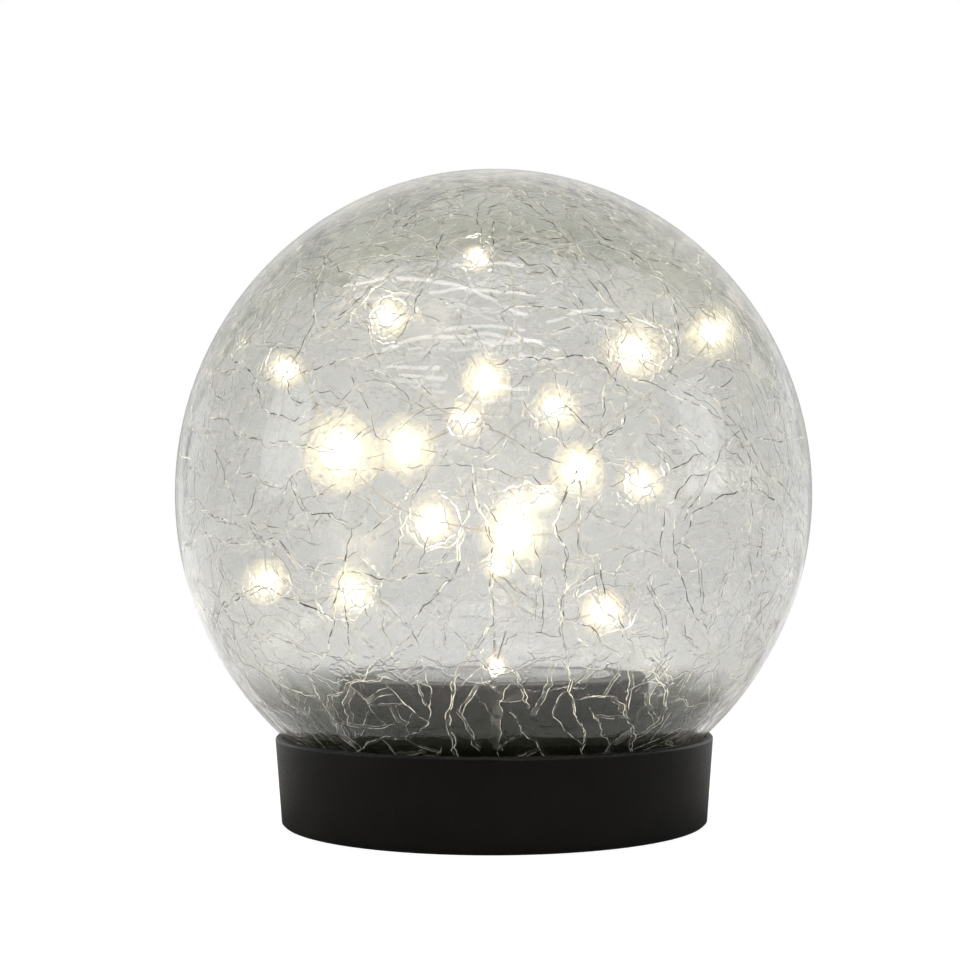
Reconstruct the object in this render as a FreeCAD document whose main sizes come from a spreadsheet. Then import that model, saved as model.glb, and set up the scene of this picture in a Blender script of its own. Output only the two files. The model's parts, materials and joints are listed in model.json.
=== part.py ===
# Garden globe light: a crackled glass globe on a black round base, with a string of
# small warm lamps inside and a solar module that stands up in the neck.
# Millimetres. +Z is up, the front faces -Y, and the origin is on the ground at the axis.
import FreeCAD, Part
import math
import os
import Sketcher

Vector = FreeCAD.Vector

SIZES = {
    # glass globe
    "globe_radius": 75.0,
    "globe_half_height": 76.4,
    "glass_wall": 2.6,
    "crown_wall": 4.6,
    "neck_radius": 42.6,
    "neck_wall": 3.0,
    "neck_foot_height": 6.0,
    "neck_length": 8.6,
    "shoulder_round": 3.0,
    # neck gasket and the bead of sealant under the lip
    "neck_gasket_wall": 0.8,
    "neck_gasket_height": 4.5,
    "neck_fit": 0.1,
    "lip_gap": 0.4,
    "sealant_depth": 1.6,
    "sealant_drop": 1.0,
    # base housing
    "base_top_height": 20.2,
    "base_draft_run": 1.7,
    "foot_stand": 0.3,
    "base_wall": 1.9,
    "lip_wall": 1.5,
    "lip_round": 0.6,
    "base_edge_chamfer": 0.4,
    "channel_floor": 2.2,
    "collar_wall": 1.8,
    "collar_height": 12.0,
    "cover_recess_depth": 2.5,
    "deck_thickness": 1.8,
    "channel_rib_count": 12,
    "channel_rib_width": 1.6,
    "rib_shoulder_rise": 3.0,
    # rubber feet
    "foot_count": 4,
    "foot_radius": 3.5,
    "foot_circle": 43.0,
    "foot_pocket_depth": 0.8,
    "foot_fit": 0.15,
    # solar module housing
    "module_radius": 36.5,
    "module_fit": 0.15,
    "module_wall": 1.8,
    "module_plate": 3.0,
    "module_edge_round": 1.2,
    "module_gasket_thickness": 0.8,
    "module_boss_circle": 30.5,
    "module_boss_radius": 3.0,
    "module_screw_count": 4,
    "deck_boss_rise": 2.8,
    "deck_boss_radius": 3.7,
    "head_pocket_depth": 2.2,
    # solar panel
    "panel_radius": 28.3,
    "panel_fit": 0.3,
    "panel_seat_depth": 1.6,
    "panel_board_thickness": 1.0,
    "cell_strip_count": 6,
    "cell_strip_width": 6.6,
    "cell_strip_gap": 0.6,
    "cell_thickness": 0.25,
    "cell_field_radius": 24.5,
    "resin_edge_thickness": 0.7,
    "resin_crown_radius": 19.8,
    "resin_crown_rise": 0.5,
    "panel_lead_hole_radius": 2.0,
    # control board
    "board_length": 34.0,
    "board_width": 22.0,
    "board_thickness": 1.6,
    "board_clearance": 5.4,
    "board_centre_back": 12.0,
    "board_post_drop": 4.4,
    "board_post_radius": 2.2,
    "board_screw_inset": 3.0,
    # battery and its tub
    "battery_radius": 7.1,
    "battery_length": 49.0,
    "battery_button_radius": 2.75,
    "battery_button_length": 1.3,
    "battery_lift": 3.4,
    "tub_fit": 0.4,
    "tub_wall": 1.6,
    "tub_left": 30.0,
    "tub_right": 26.0,
    "contact_thickness": 0.4,
    "contact_width": 9.0,
    "contact_tab_width": 3.0,
    "contact_tab_rise": 2.4,
    "spring_wire": 0.7,
    "spring_turns": 3,
    "spring_base_radius": 4.0,
    "spring_tip_radius": 2.8,
    # battery cover
    "cover_thickness": 1.8,
    "cover_fit": 0.3,
    "cover_gasket_width": 2.0,
    "cover_screw_count": 3,
    "cover_screw_circle": 31.3,
    "cover_boss_radius": 2.6,
    "cover_post_height": 6.5,
    "cover_lift_notch": 6.0,
    # screws
    "screw_shank_radius": 1.1,
    "screw_hole_fit": 0.3,
    "screw_head_radius": 2.2,
    "screw_head_height": 1.3,
    "screw_head_fit": 0.25,
    "screw_slot_depth": 0.7,
    "screw_slot_width": 0.6,
    "screw_slot_length": 2.4,
    "cover_screw_length": 7.0,
    "module_screw_length": 8.0,
    "board_screw_length": 4.4,
    # switch
    "switch_front": 20.0,
    "switch_length": 9.0,
    "switch_width": 4.6,
    "switch_height": 4.6,
    "switch_shell_wall": 0.5,
    "switch_bracket_length": 20.0,
    "switch_bracket_thickness": 0.5,
    "switch_screw_spread": 7.5,
    "knob_length": 3.0,
    "knob_width": 2.2,
    "knob_tip_height": 1.3,
    "knob_travel": 4.0,
    "knob_fit": 0.2,
    "carrier_thickness": 1.4,
    "switch_pin_width": 0.6,
    "switch_pin_length": 3.0,
    "switch_pin_pitch": 2.5,
    "switch_window_length": 15.0,
    "switch_window_width": 7.0,
    "window_gasket_width": 1.6,
    # lamp string
    "outlet_back": 31.7,
    "grommet_barrel_radius": 1.7,
    "grommet_flange_radius": 2.6,
    "grommet_flange_thickness": 0.8,
    "grommet_bore": 0.6,
    "string_wire": 0.8,
    "lamp_length": 4.6,
    "lamp_radius": 1.5,
    "lamp_bore_fit": 0.2,
    "lead_wire": 1.0,
    "panel_lead_spread": 1.5,
    "panel_lead_back": 4.0,
    # small fits and parts
    "thread_fit": 0.05,
    "cover_head_pocket": 1.4,
    "cradle_half_width": 5.5,
    "switch_pilot_floor": 0.2,
    "switch_screw_length": 2.0,
    "component_row_back": 5.0,
    "component_pitch": 8.0,
    "inductor_radius": 2.5,
    "inductor_height": 5.0,
    "capacitor_radius": 2.0,
    "capacitor_height": 5.0,
    "driver_length": 5.0,
    "driver_width": 3.0,
    "driver_height": 3.5,
}

# The route of the lamp string inside the globe, chosen point by point: (x, y, height). It
# starts at the grommet, crosses the solar panel and climbs. A lamp sits on the middle of each
# run in LAMP_RUNS.
STRING_ROUTE = [
    (0, 31.7, 39.3),
    (0, 28.5, 43),
    (0, 22, 43.8),
    (0.5, 14, 39.5),
    (1, 3, 36.7), (0, -17, 36.6),
    (2, -28, 43),
    (5, -27, 54),
    (4, -17, 59), (-2, 1, 61),
    (-1, 20, 58),
    (7, 34, 48),
    (20, 42, 45), (40, 50, 52),
    (43, 47, 73), (39, 45, 95),
    (28, 54, 108), (8, 58, 104),
    (-10, 62, 84), (-25, 62, 64),
    (-32, 53, 57), (-45, 35, 51),
    (-54, 9, 52), (-54, -13, 61),
    (-49, -12, 100), (-45, -32, 109),
    (-36, -52, 92), (-24, -64, 72),
    (-7, -66, 66), (15, -66, 64),
    (18.5, -53, 74), (16.5, -35, 85),
    (47, -34, 106), (52, -14, 119),
    (43, 10, 121), (31, 30, 113),
    (22, 37, 90), (5, 39, 69),
    (-1, 64, 70), (15, 68, 87),
    (4, 62, 100), (-20, 60, 107),
    (-26, 41, 125), (-30, 19, 132),
    (-12, 0, 135), (5, -16, 134),
    (4, -38, 108), (-7, -50, 89),
    (-9.5, -65, 84), (-24.5, -63, 80),
]
LAMP_RUNS = [5, 9, *range(13, 50, 2)]


class Size:
    """A length or count, with the sheet expression that gives it."""

    def __init__(self, value, text):
        self.value = value
        self.text = text

    def __add__(self, other):
        other = as_size(other)
        return Size(self.value + other.value, f"({self.text} + {other.text})")

    def __sub__(self, other):
        other = as_size(other)
        return Size(self.value - other.value, f"({self.text} - {other.text})")

    def __mul__(self, other):
        other = as_size(other)
        return Size(self.value * other.value, f"({self.text} * {other.text})")

    def __truediv__(self, other):
        other = as_size(other)
        return Size(self.value / other.value, f"({self.text} / {other.text})")

    def __neg__(self):
        return Size(-self.value, f"(0 - {self.text})")


def as_size(item):
    return item if isinstance(item, Size) else Size(float(item), repr(float(item)))


def root(item):
    return Size(math.sqrt(item.value), f"sqrt({item.text})")


def polar(radius, degrees):
    """The (x, y) of a point on a circle round the axis."""
    angle = math.radians(degrees)
    east = Size(radius.value * math.cos(angle), f"({radius.text} * cos({degrees} deg))")
    north = Size(radius.value * math.sin(angle), f"({radius.text} * sin({degrees} deg))")
    return east, north


doc = FreeCAD.newDocument("garden_globe_light")
sheet = doc.addObject("Spreadsheet::Sheet", "Sizes")
for row, (alias, number) in enumerate(SIZES.items(), start=1):
    sheet.set(f"A{row}", alias)
    sheet.set(f"B{row}", str(number))
    sheet.setAlias(f"B{row}", alias)
doc.recompute()


class Sizes:
    """Reads the sheet: size.glass_wall is the cell of that alias."""

    def __getattr__(self, alias):
        return Size(float(sheet.get(alias)), f"Sizes.{alias}")


size = Sizes()

# ---------------------------------------------------------------- shared heights and radii

shoulder_height = size.neck_foot_height + size.neck_length
neck_share = size.neck_radius / size.globe_radius
globe_centre_height = shoulder_height + size.globe_half_height * root(
    as_size(1) - neck_share * neck_share
)
bore_half_height = size.globe_half_height - (size.crown_wall + size.glass_wall) / 2
bore_centre_height = globe_centre_height - (size.crown_wall - size.glass_wall) / 2
bore_radius = size.globe_radius - size.glass_wall
neck_bore_radius = size.neck_radius - size.neck_wall


def glass_radius_at(height):
    """The outer radius of the glass ball at a height."""
    ratio = (globe_centre_height - height) / size.globe_half_height
    return size.globe_radius * root(as_size(1) - ratio * ratio)


lip_inner_radius = glass_radius_at(size.base_top_height) + size.lip_gap
base_top_radius = lip_inner_radius + size.lip_wall
base_foot_radius = base_top_radius - size.base_draft_run
wall_foot_radius = base_foot_radius - size.base_wall
channel_floor_top = size.foot_stand + size.channel_floor
deck_under = size.foot_stand + size.cover_recess_depth
deck_top = deck_under + size.deck_thickness
collar_inner_radius = size.module_radius + size.module_fit
collar_outer_radius = collar_inner_radius + size.collar_wall
gasket_inner_radius = neck_bore_radius - size.neck_fit - size.neck_gasket_wall
gasket_outer_radius = size.neck_radius + size.neck_fit + size.neck_gasket_wall
gasket_seat_height = size.neck_foot_height - size.neck_gasket_wall
deck_boss_top = deck_top + size.deck_boss_rise
module_foot_height = deck_top + size.module_gasket_thickness
module_inner_radius = size.module_radius - size.module_wall
tub_half_width = size.battery_radius + size.tub_fit
tub_ceiling = size.battery_lift + size.battery_radius * 2 + size.tub_fit
tub_top = tub_ceiling + size.tub_wall
board_under = tub_top + size.board_clearance
board_top = board_under + size.board_thickness
plate_under = board_top + size.board_post_drop
module_top_height = plate_under + size.module_plate
panel_seat_height = module_top_height - size.panel_seat_depth
panel_board_top = panel_seat_height + size.panel_board_thickness
board_front = size.board_centre_back - size.board_width / 2
board_back = size.board_centre_back + size.board_width / 2
board_screw_side = size.board_length / 2 - size.board_screw_inset
battery_axis_height = size.battery_lift + size.battery_radius
positive_face = size.tub_right - size.contact_thickness
negative_face = -size.tub_left + size.contact_thickness
battery_right = positive_face - size.battery_button_length
battery_left = battery_right - size.battery_length
tab_top = tub_top + size.contact_tab_rise
cover_top = size.foot_stand + size.cover_thickness
cover_radius = collar_inner_radius - size.cover_fit
head_pocket_radius = size.screw_head_radius + size.screw_head_fit
screw_pass_radius = size.screw_shank_radius + size.screw_hole_fit
bracket_top = deck_top + size.switch_bracket_thickness
switch_top = bracket_top + size.switch_height
knob_slot_length = size.knob_length + size.knob_travel + size.knob_fit * 2
knob_slot_width = size.knob_width + size.knob_fit * 2
knob_rest_x = -(size.knob_travel / 2)
outlet_top = module_top_height + size.grommet_flange_thickness

# ---------------------------------------------------------------- small helpers

cuts = []
parts = {}


def new_body(name):
    body = doc.addObject("PartDesign::Body", name)
    body.Label = name
    parts[name] = body
    return body


def origin_plane(body, role):
    return next(item for item in body.Origin.OriginFeatures if item.Role == role)


def new_sketch(body, name, role="XY_Plane", lift=0.0):
    sketch = body.newObject("Sketcher::SketchObject", name)
    sketch.AttachmentSupport = [(origin_plane(body, role), "")]
    sketch.MapMode = "FlatFace"
    lift = as_size(lift)
    sketch.AttachmentOffset = FreeCAD.Placement(Vector(0, 0, lift.value), FreeCAD.Rotation())
    sketch.setExpression("AttachmentOffset.Base.z", lift.text)
    return sketch


def bind_point(sketch, geometry, end, across, up):
    for kind, item in (("DistanceX", across), ("DistanceY", up)):
        item = as_size(item)
        number = sketch.addConstraint(Sketcher.Constraint(kind, -1, 1, geometry, end, item.value))
        sketch.setExpression(f"Constraints[{number}]", item.text)


def add_polygon(sketch, corners):
    """A closed outline through (across, up) corners, each bound to the sheet."""
    corners = [(as_size(across), as_size(up)) for across, up in corners]
    first = sketch.GeometryCount
    count = len(corners)
    for index in range(count):
        start = corners[index]
        end = corners[(index + 1) % count]
        sketch.addGeometry(
            Part.LineSegment(
                Vector(start[0].value, start[1].value, 0), Vector(end[0].value, end[1].value, 0)
            )
        )
    for index in range(count):
        follower = first + (index + 1) % count
        sketch.addConstraint(Sketcher.Constraint("Coincident", first + index, 2, follower, 1))
    for index, (across, up) in enumerate(corners):
        bind_point(sketch, first + index, 1, across, up)


def add_rectangle(sketch, left, front, right, back):
    add_polygon(sketch, [(left, front), (right, front), (right, back), (left, back)])


def add_circle(sketch, across, up, radius):
    across = as_size(across)
    up = as_size(up)
    radius = as_size(radius)
    centre = Vector(across.value, up.value, 0)
    geometry = sketch.addGeometry(Part.Circle(centre, Vector(0, 0, 1), radius.value))
    number = sketch.addConstraint(Sketcher.Constraint("Radius", geometry, radius.value))
    sketch.setExpression(f"Constraints[{number}]", radius.text)
    bind_point(sketch, geometry, 3, across, up)


def revolve(body, corners):
    """Turns an outline of (radius, height) corners about the axis."""
    sketch = new_sketch(body, body.Name + "_profile", "XZ_Plane")
    add_polygon(sketch, corners)
    feature = body.newObject("PartDesign::Revolution", body.Name + "_turned")
    feature.Profile = sketch
    feature.ReferenceAxis = (sketch, ["V_Axis"])
    feature.Angle = 360
    return feature


def pad(body, sketch, length, name, both_ways=False):
    feature = body.newObject("PartDesign::Pad", name)
    feature.Profile = sketch
    feature.setExpression("Length", as_size(length).text)
    if both_ways:
        feature.SideType = "Symmetric"
    return feature


def pocket(body, sketch, depth, name):
    """Cuts upward from the sketch."""
    feature = body.newObject("PartDesign::Pocket", name)
    feature.Profile = sketch
    feature.Reversed = True
    feature.setExpression("Length", as_size(depth).text)
    cuts.append(feature)
    return feature


def repeat_round(body, features, count, name):
    doc.recompute()
    pattern = body.newObject("PartDesign::PolarPattern", name)
    pattern.Originals = features
    pattern.Axis = (origin_plane(body, "Z_Axis"), [""])
    pattern.Angle = 360
    pattern.setExpression("Occurrences", as_size(count).text)
    body.Tip = pattern
    return pattern


def rims(feature, radius, height):
    """The names of the round edges of that radius at that height."""
    doc.recompute()
    names = []
    for index, edge in enumerate(feature.Shape.Edges, start=1):
        box = edge.BoundBox
        flat = box.ZLength < 1e-4 and abs(box.ZMin - height.value) < 1e-3
        if flat and abs(box.XMax - radius.value) < 1e-2:
            names.append(f"Edge{index}")
    return names


def round_rim(body, feature, radius, height, amount, name, kind="Fillet"):
    rim = rims(feature, radius, height)
    dressed = body.newObject("PartDesign::" + kind, name)
    dressed.Base = (feature, rim)
    dressed.setExpression("Radius" if kind == "Fillet" else "Size", as_size(amount).text)
    return dressed


def place(item, x=0.0, y=0.0, height=0.0):
    for axis, value in (("x", x), ("y", y), ("z", height)):
        item.setExpression(f"Placement.Base.{axis}", as_size(value).text)
    return item


def cylinder(name, radius, length, x=0.0, y=0.0, height=0.0):
    item = doc.addObject("Part::Cylinder", name)
    item.setExpression("Radius", as_size(radius).text)
    item.setExpression("Height", as_size(length).text)
    return place(item, x, y, height)


def box(name, left, front, bottom, right, back, top):
    """A block between two corners."""
    item = doc.addObject("Part::Box", name)
    left = as_size(left)
    front = as_size(front)
    bottom = as_size(bottom)
    item.setExpression("Length", (as_size(right) - left).text)
    item.setExpression("Width", (as_size(back) - front).text)
    item.setExpression("Height", (as_size(top) - bottom).text)
    return place(item, left, front, bottom)


def fuse(name, items):
    item = doc.addObject("Part::MultiFuse", name)
    item.Shapes = items
    return item


def cut(name, base, tool):
    item = doc.addObject("Part::Cut", name)
    item.Base = base
    item.Tool = tool
    return item


def compound(name, items):
    item = doc.addObject("Part::Compound", name)
    item.Links = items
    return item


def keep(name, item):
    item.Label = name
    parts[name] = item
    return item


def shaped(name, shape):
    item = doc.addObject("Part::Feature", name)
    item.Shape = shape
    return item


def copies(name, master, spots):
    """Separate copies of a master piece at (x, y, height, turned over) spots."""
    doc.recompute()
    solids = []
    for x, y, height, turned in spots:
        solid = master.Shape.copy()
        if turned:
            solid.rotate(Vector(0, 0, 0), Vector(1, 0, 0), 180)
        solid.translate(Vector(x.value, y.value, height.value))
        solids.append(solid)
    return keep(name, shaped(name, Part.makeCompound(solids)))


def arc_between(start, tangent, end):
    """The arc that leaves start along tangent and reaches end."""
    chord = end - start
    along = Vector(chord).normalize()
    side = tangent - along * tangent.dot(along)
    angle = math.atan2(side.Length, tangent.dot(along))
    if side.Length < 1e-9:
        return Part.LineSegment(start, end).toShape()
    rise = chord.Length / 2 * math.tan(angle / 2)
    middle = start + chord * 0.5 + Vector(side).normalize() * rise
    return Part.Arc(start, middle, end).toShape()


def tube(edges, radius, start, direction):
    """A round bar along joined edges."""
    path = Part.Wire(edges)
    ring = Part.Wire([Part.Circle(start, direction, radius).toShape()])
    return path.makePipeShell([ring], True, False)


def rounded_route(points):
    """Straight runs joined by tangent arcs as large as the runs allow, with their radii."""
    bend_share = 0.45
    edges = []
    radii = []
    here = points[0]
    for index in range(1, len(points) - 1):
        corner = points[index]
        back = points[index - 1] - corner
        ahead = points[index + 1] - corner
        reach = bend_share * min(back.Length, ahead.Length)
        back = Vector(back).normalize()
        ahead = Vector(ahead).normalize()
        half_turn = (math.pi - back.getAngle(ahead)) / 2
        radii.append(reach / math.tan(half_turn))
        enter = corner + back * reach
        leave = corner + ahead * reach
        edges.append(Part.LineSegment(here, enter).toShape())
        edges.append(arc_between(enter, -back, leave))
        here = leave
    edges.append(Part.LineSegment(here, points[-1]).toShape())
    return edges, radii


def lead(points, radius):
    """An insulated lead through a few points."""
    edges, _ = rounded_route(points)
    return tube(edges, radius, points[0], points[1] - points[0])


# ---------------------------------------------------------------- glass globe


def make_glass_globe():
    outer = doc.addObject("Part::Ellipsoid", "globe_outer")
    inner = doc.addObject("Part::Ellipsoid", "globe_inner")
    for ball, upright, across, centre in (
        (outer, size.globe_half_height, size.globe_radius, globe_centre_height),
        (inner, bore_half_height, bore_radius, bore_centre_height),
    ):
        ball.setExpression("Radius1", upright.text)
        ball.setExpression("Radius2", across.text)
        ball.setExpression("Radius3", across.text)
        ball.Angle1 = -90
        ball.Angle2 = 90
        ball.Angle3 = 360
        place(ball, height=centre)
    neck_length = size.base_top_height - size.neck_foot_height
    neck = cylinder("neck_outer", size.neck_radius, neck_length, height=size.neck_foot_height)
    solid = fuse("globe_solid", [outer, neck])
    below = box(
        "below_neck",
        -size.globe_radius,
        -size.globe_radius,
        -size.globe_radius,
        size.globe_radius,
        size.globe_radius,
        size.neck_foot_height,
    )
    trimmed = cut("globe_trimmed", solid, below)
    doc.recompute()
    shoulder = doc.addObject("Part::Fillet", "globe_shoulder")
    shoulder.Base = trimmed
    shoulder.Edges = [
        (index, size.shoulder_round.value, size.shoulder_round.value)
        for index, edge in enumerate(trimmed.Shape.Edges, start=1)
        if edge.BoundBox.ZLength < 1e-3 and abs(edge.BoundBox.ZMin - shoulder_height.value) < 0.05
    ]
    neck_bore = cylinder("neck_bore", neck_bore_radius, size.base_top_height + size.glass_wall)
    hollow = fuse("globe_hollow", [inner, neck_bore])
    keep("glass_globe", cut("glass_globe", shoulder, hollow))


def make_neck_gasket():
    body = new_body("neck_gasket")
    groove_inner = neck_bore_radius - size.neck_fit
    groove_outer = size.neck_radius + size.neck_fit
    top = gasket_seat_height + size.neck_gasket_height
    revolve(
        body,
        [
            (gasket_inner_radius, gasket_seat_height),
            (gasket_outer_radius, gasket_seat_height),
            (gasket_outer_radius, top),
            (groove_outer, top),
            (groove_outer, size.neck_foot_height),
            (groove_inner, size.neck_foot_height),
            (groove_inner, top),
            (gasket_inner_radius, top),
        ],
    )


def make_rim_sealant():
    body = new_body("rim_sealant")
    top = size.base_top_height - size.sealant_drop
    bottom = top - size.sealant_depth
    wall_height = size.base_top_height - channel_floor_top
    slope = (lip_inner_radius - wall_foot_radius) / wall_height
    top_outer = lip_inner_radius - slope * size.sealant_drop - size.neck_fit
    bottom_outer = top_outer - slope * size.sealant_depth
    revolve(
        body,
        [
            (glass_radius_at(bottom) + size.neck_fit, bottom),
            (bottom_outer, bottom),
            (top_outer, top),
            (glass_radius_at(top) + size.neck_fit, top),
        ],
    )


# ---------------------------------------------------------------- base housing


def make_base_housing():
    body = new_body("base_housing")
    turned = revolve(
        body,
        [
            (0, deck_under),
            (collar_inner_radius, deck_under),
            (collar_inner_radius, size.foot_stand),
            (base_foot_radius, size.foot_stand),
            (base_top_radius, size.base_top_height),
            (lip_inner_radius, size.base_top_height),
            (wall_foot_radius, channel_floor_top),
            (collar_outer_radius, channel_floor_top),
            (collar_outer_radius, size.collar_height),
            (collar_inner_radius, size.collar_height),
            (collar_inner_radius, deck_top),
            (0, deck_top),
        ],
    )
    lip = round_rim(
        body, turned, base_top_radius, size.base_top_height, size.lip_round, "base_lip_round"
    )
    edge = round_rim(
        body,
        lip,
        base_foot_radius,
        size.foot_stand,
        size.base_edge_chamfer,
        "base_edge",
        "Chamfer",
    )

    ribs = new_sketch(body, "rib_profile", "XZ_Plane")
    shoulder_radius = gasket_outer_radius + size.neck_fit * 2
    rib_top = gasket_seat_height + size.rib_shoulder_rise
    middle_of_wall = wall_foot_radius + size.base_wall / 2
    add_polygon(
        ribs,
        [
            (collar_outer_radius - size.collar_wall / 2, channel_floor_top - size.channel_floor / 2),
            (middle_of_wall, channel_floor_top - size.channel_floor / 2),
            (middle_of_wall, rib_top),
            (shoulder_radius, rib_top),
            (shoulder_radius, gasket_seat_height),
            (collar_outer_radius - size.collar_wall / 2, gasket_seat_height),
        ],
    )
    rib = pad(body, ribs, size.channel_rib_width, "channel_rib", both_ways=True)
    repeat_round(body, [rib], size.channel_rib_count, "channel_ribs")

    boss_x, boss_y = polar(size.module_boss_circle, 45)
    boss_ring = new_sketch(body, "deck_boss_outline", lift=deck_top)
    add_circle(boss_ring, boss_x, boss_y, size.deck_boss_radius)
    deck_boss = pad(body, boss_ring, size.deck_boss_rise, "deck_boss")
    repeat_round(body, [deck_boss], size.module_screw_count, "deck_bosses")
    head_ring = new_sketch(body, "head_pocket_outline", lift=deck_under)
    add_circle(head_ring, boss_x, boss_y, head_pocket_radius)
    head_pocket = pocket(body, head_ring, size.head_pocket_depth, "head_pocket")
    repeat_round(body, [head_pocket], size.module_screw_count, "head_pockets")
    pass_ring = new_sketch(body, "module_screw_pass_outline", lift=deck_under)
    add_circle(pass_ring, boss_x, boss_y, screw_pass_radius)
    pass_hole = pocket(body, pass_ring, deck_boss_top - deck_under, "module_screw_pass")
    repeat_round(body, [pass_hole], size.module_screw_count, "module_screw_passes")

    post_ring = new_sketch(body, "cover_post_outline", lift=deck_top)
    add_circle(post_ring, size.cover_screw_circle, 0, size.cover_boss_radius)
    post = pad(body, post_ring, size.cover_post_height, "cover_post")
    repeat_round(body, [post], size.cover_screw_count, "cover_posts")
    pilot_ring = new_sketch(body, "cover_pilot_outline", lift=deck_under)
    add_circle(pilot_ring, size.cover_screw_circle, 0, size.screw_shank_radius + size.thread_fit)
    pilot = pocket(
        body,
        pilot_ring,
        size.deck_thickness + size.cover_post_height - size.screw_shank_radius,
        "cover_pilot",
    )
    repeat_round(body, [pilot], size.cover_screw_count, "cover_pilots")

    foot_x, foot_y = polar(size.foot_circle, 45)
    foot_ring = new_sketch(body, "foot_pocket_outline", lift=size.foot_stand)
    add_circle(foot_ring, foot_x, foot_y, size.foot_radius + size.foot_fit)
    foot_pocket = pocket(body, foot_ring, size.foot_pocket_depth, "foot_pocket")
    repeat_round(body, [foot_pocket], size.foot_count, "foot_pockets")

    tub = new_sketch(body, "tub_outline", lift=deck_top)
    add_rectangle(
        tub,
        -(size.tub_left + size.tub_wall),
        -(tub_half_width + size.tub_wall),
        size.tub_right + size.tub_wall,
        tub_half_width + size.tub_wall,
    )
    pad(body, tub, tub_top - deck_top, "battery_tub")
    well = new_sketch(body, "tub_well_outline", lift=deck_under)
    add_rectangle(well, -size.tub_left, -tub_half_width, size.tub_right, tub_half_width)
    pocket(body, well, tub_ceiling - deck_under, "battery_well")

    slots = new_sketch(body, "contact_slot_outline", lift=tub_ceiling)
    half_tab = size.contact_tab_width / 2 + size.knob_fit
    slot_reach = size.contact_thickness + size.knob_fit
    add_rectangle(slots, -size.tub_left, -half_tab, -size.tub_left + slot_reach, half_tab)
    add_rectangle(slots, size.tub_right - slot_reach, -half_tab, size.tub_right, half_tab)
    pocket(body, slots, size.tub_wall, "contact_slots")

    slot = new_sketch(body, "knob_slot_outline", lift=deck_under)
    add_rectangle(
        slot,
        -(knob_slot_length / 2),
        -size.switch_front - knob_slot_width / 2,
        knob_slot_length / 2,
        -size.switch_front + knob_slot_width / 2,
    )
    pocket(body, slot, size.deck_thickness, "knob_slot")
    fixings = new_sketch(
        body, "switch_pilot_outline", lift=deck_under + size.switch_pilot_floor
    )
    for side in (-1, 1):
        add_circle(
            fixings,
            size.switch_screw_spread * side,
            -size.switch_front,
            size.screw_shank_radius + size.thread_fit,
        )
    pocket(body, fixings, size.deck_thickness - size.switch_pilot_floor, "switch_pilots")


def make_rubber_feet():
    foot = cylinder("foot_master", size.foot_radius, size.foot_stand + size.foot_pocket_depth)
    flat = as_size(0)
    spots = []
    for index in range(int(size.foot_count.value)):
        x, y = polar(size.foot_circle, 45 + 360 * index / size.foot_count.value)
        spots.append((x, y, flat, False))
    copies("rubber_feet", foot, spots)


# ---------------------------------------------------------------- screws


def make_screw_master(name, length):
    """A pan-head screw with a cross recess: the head under height 0, the shank above it."""
    head = cylinder(
        name + "_head", size.screw_head_radius, size.screw_head_height, height=-size.screw_head_height
    )
    shank = cylinder(name + "_shank", size.screw_shank_radius, length)
    half_slot = size.screw_slot_width / 2
    arm = size.screw_slot_length / 2
    bottom = -size.screw_head_height
    top = size.screw_slot_depth - size.screw_head_height
    across = box(name + "_slot_x", -arm, -half_slot, bottom, arm, half_slot, top)
    along = box(name + "_slot_y", -half_slot, -arm, bottom, half_slot, arm, top)
    solid = fuse(name + "_solid", [head, shank])
    return cut(name + "_master", solid, fuse(name + "_cross", [across, along]))


def make_screws():
    module_screw = make_screw_master("module_screw", size.module_screw_length)
    seat = deck_under + size.head_pocket_depth
    spots = []
    for index in range(int(size.module_screw_count.value)):
        x, y = polar(size.module_boss_circle, 45 + 360 * index / size.module_screw_count.value)
        spots.append((x, y, seat, False))
    copies("module_screws", module_screw, spots)

    cover_screw = make_screw_master("cover_screw", size.cover_screw_length)
    seat = size.foot_stand + size.cover_head_pocket
    spots = []
    for index in range(int(size.cover_screw_count.value)):
        x, y = polar(size.cover_screw_circle, 360 * index / size.cover_screw_count.value)
        spots.append((x, y, seat, False))
    copies("cover_screws", cover_screw, spots)

    board_screw = make_screw_master("board_screw", size.board_screw_length)
    spots = [
        (board_screw_side * side, size.board_centre_back, board_under, False) for side in (-1, 1)
    ]
    copies("board_screws", board_screw, spots)

    switch_screw = make_screw_master("switch_screw", size.switch_screw_length)
    spots = [
        (size.switch_screw_spread * side, -size.switch_front, bracket_top, True)
        for side in (-1, 1)
    ]
    copies("switch_screws", switch_screw, spots)


# ---------------------------------------------------------------- solar module


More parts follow.
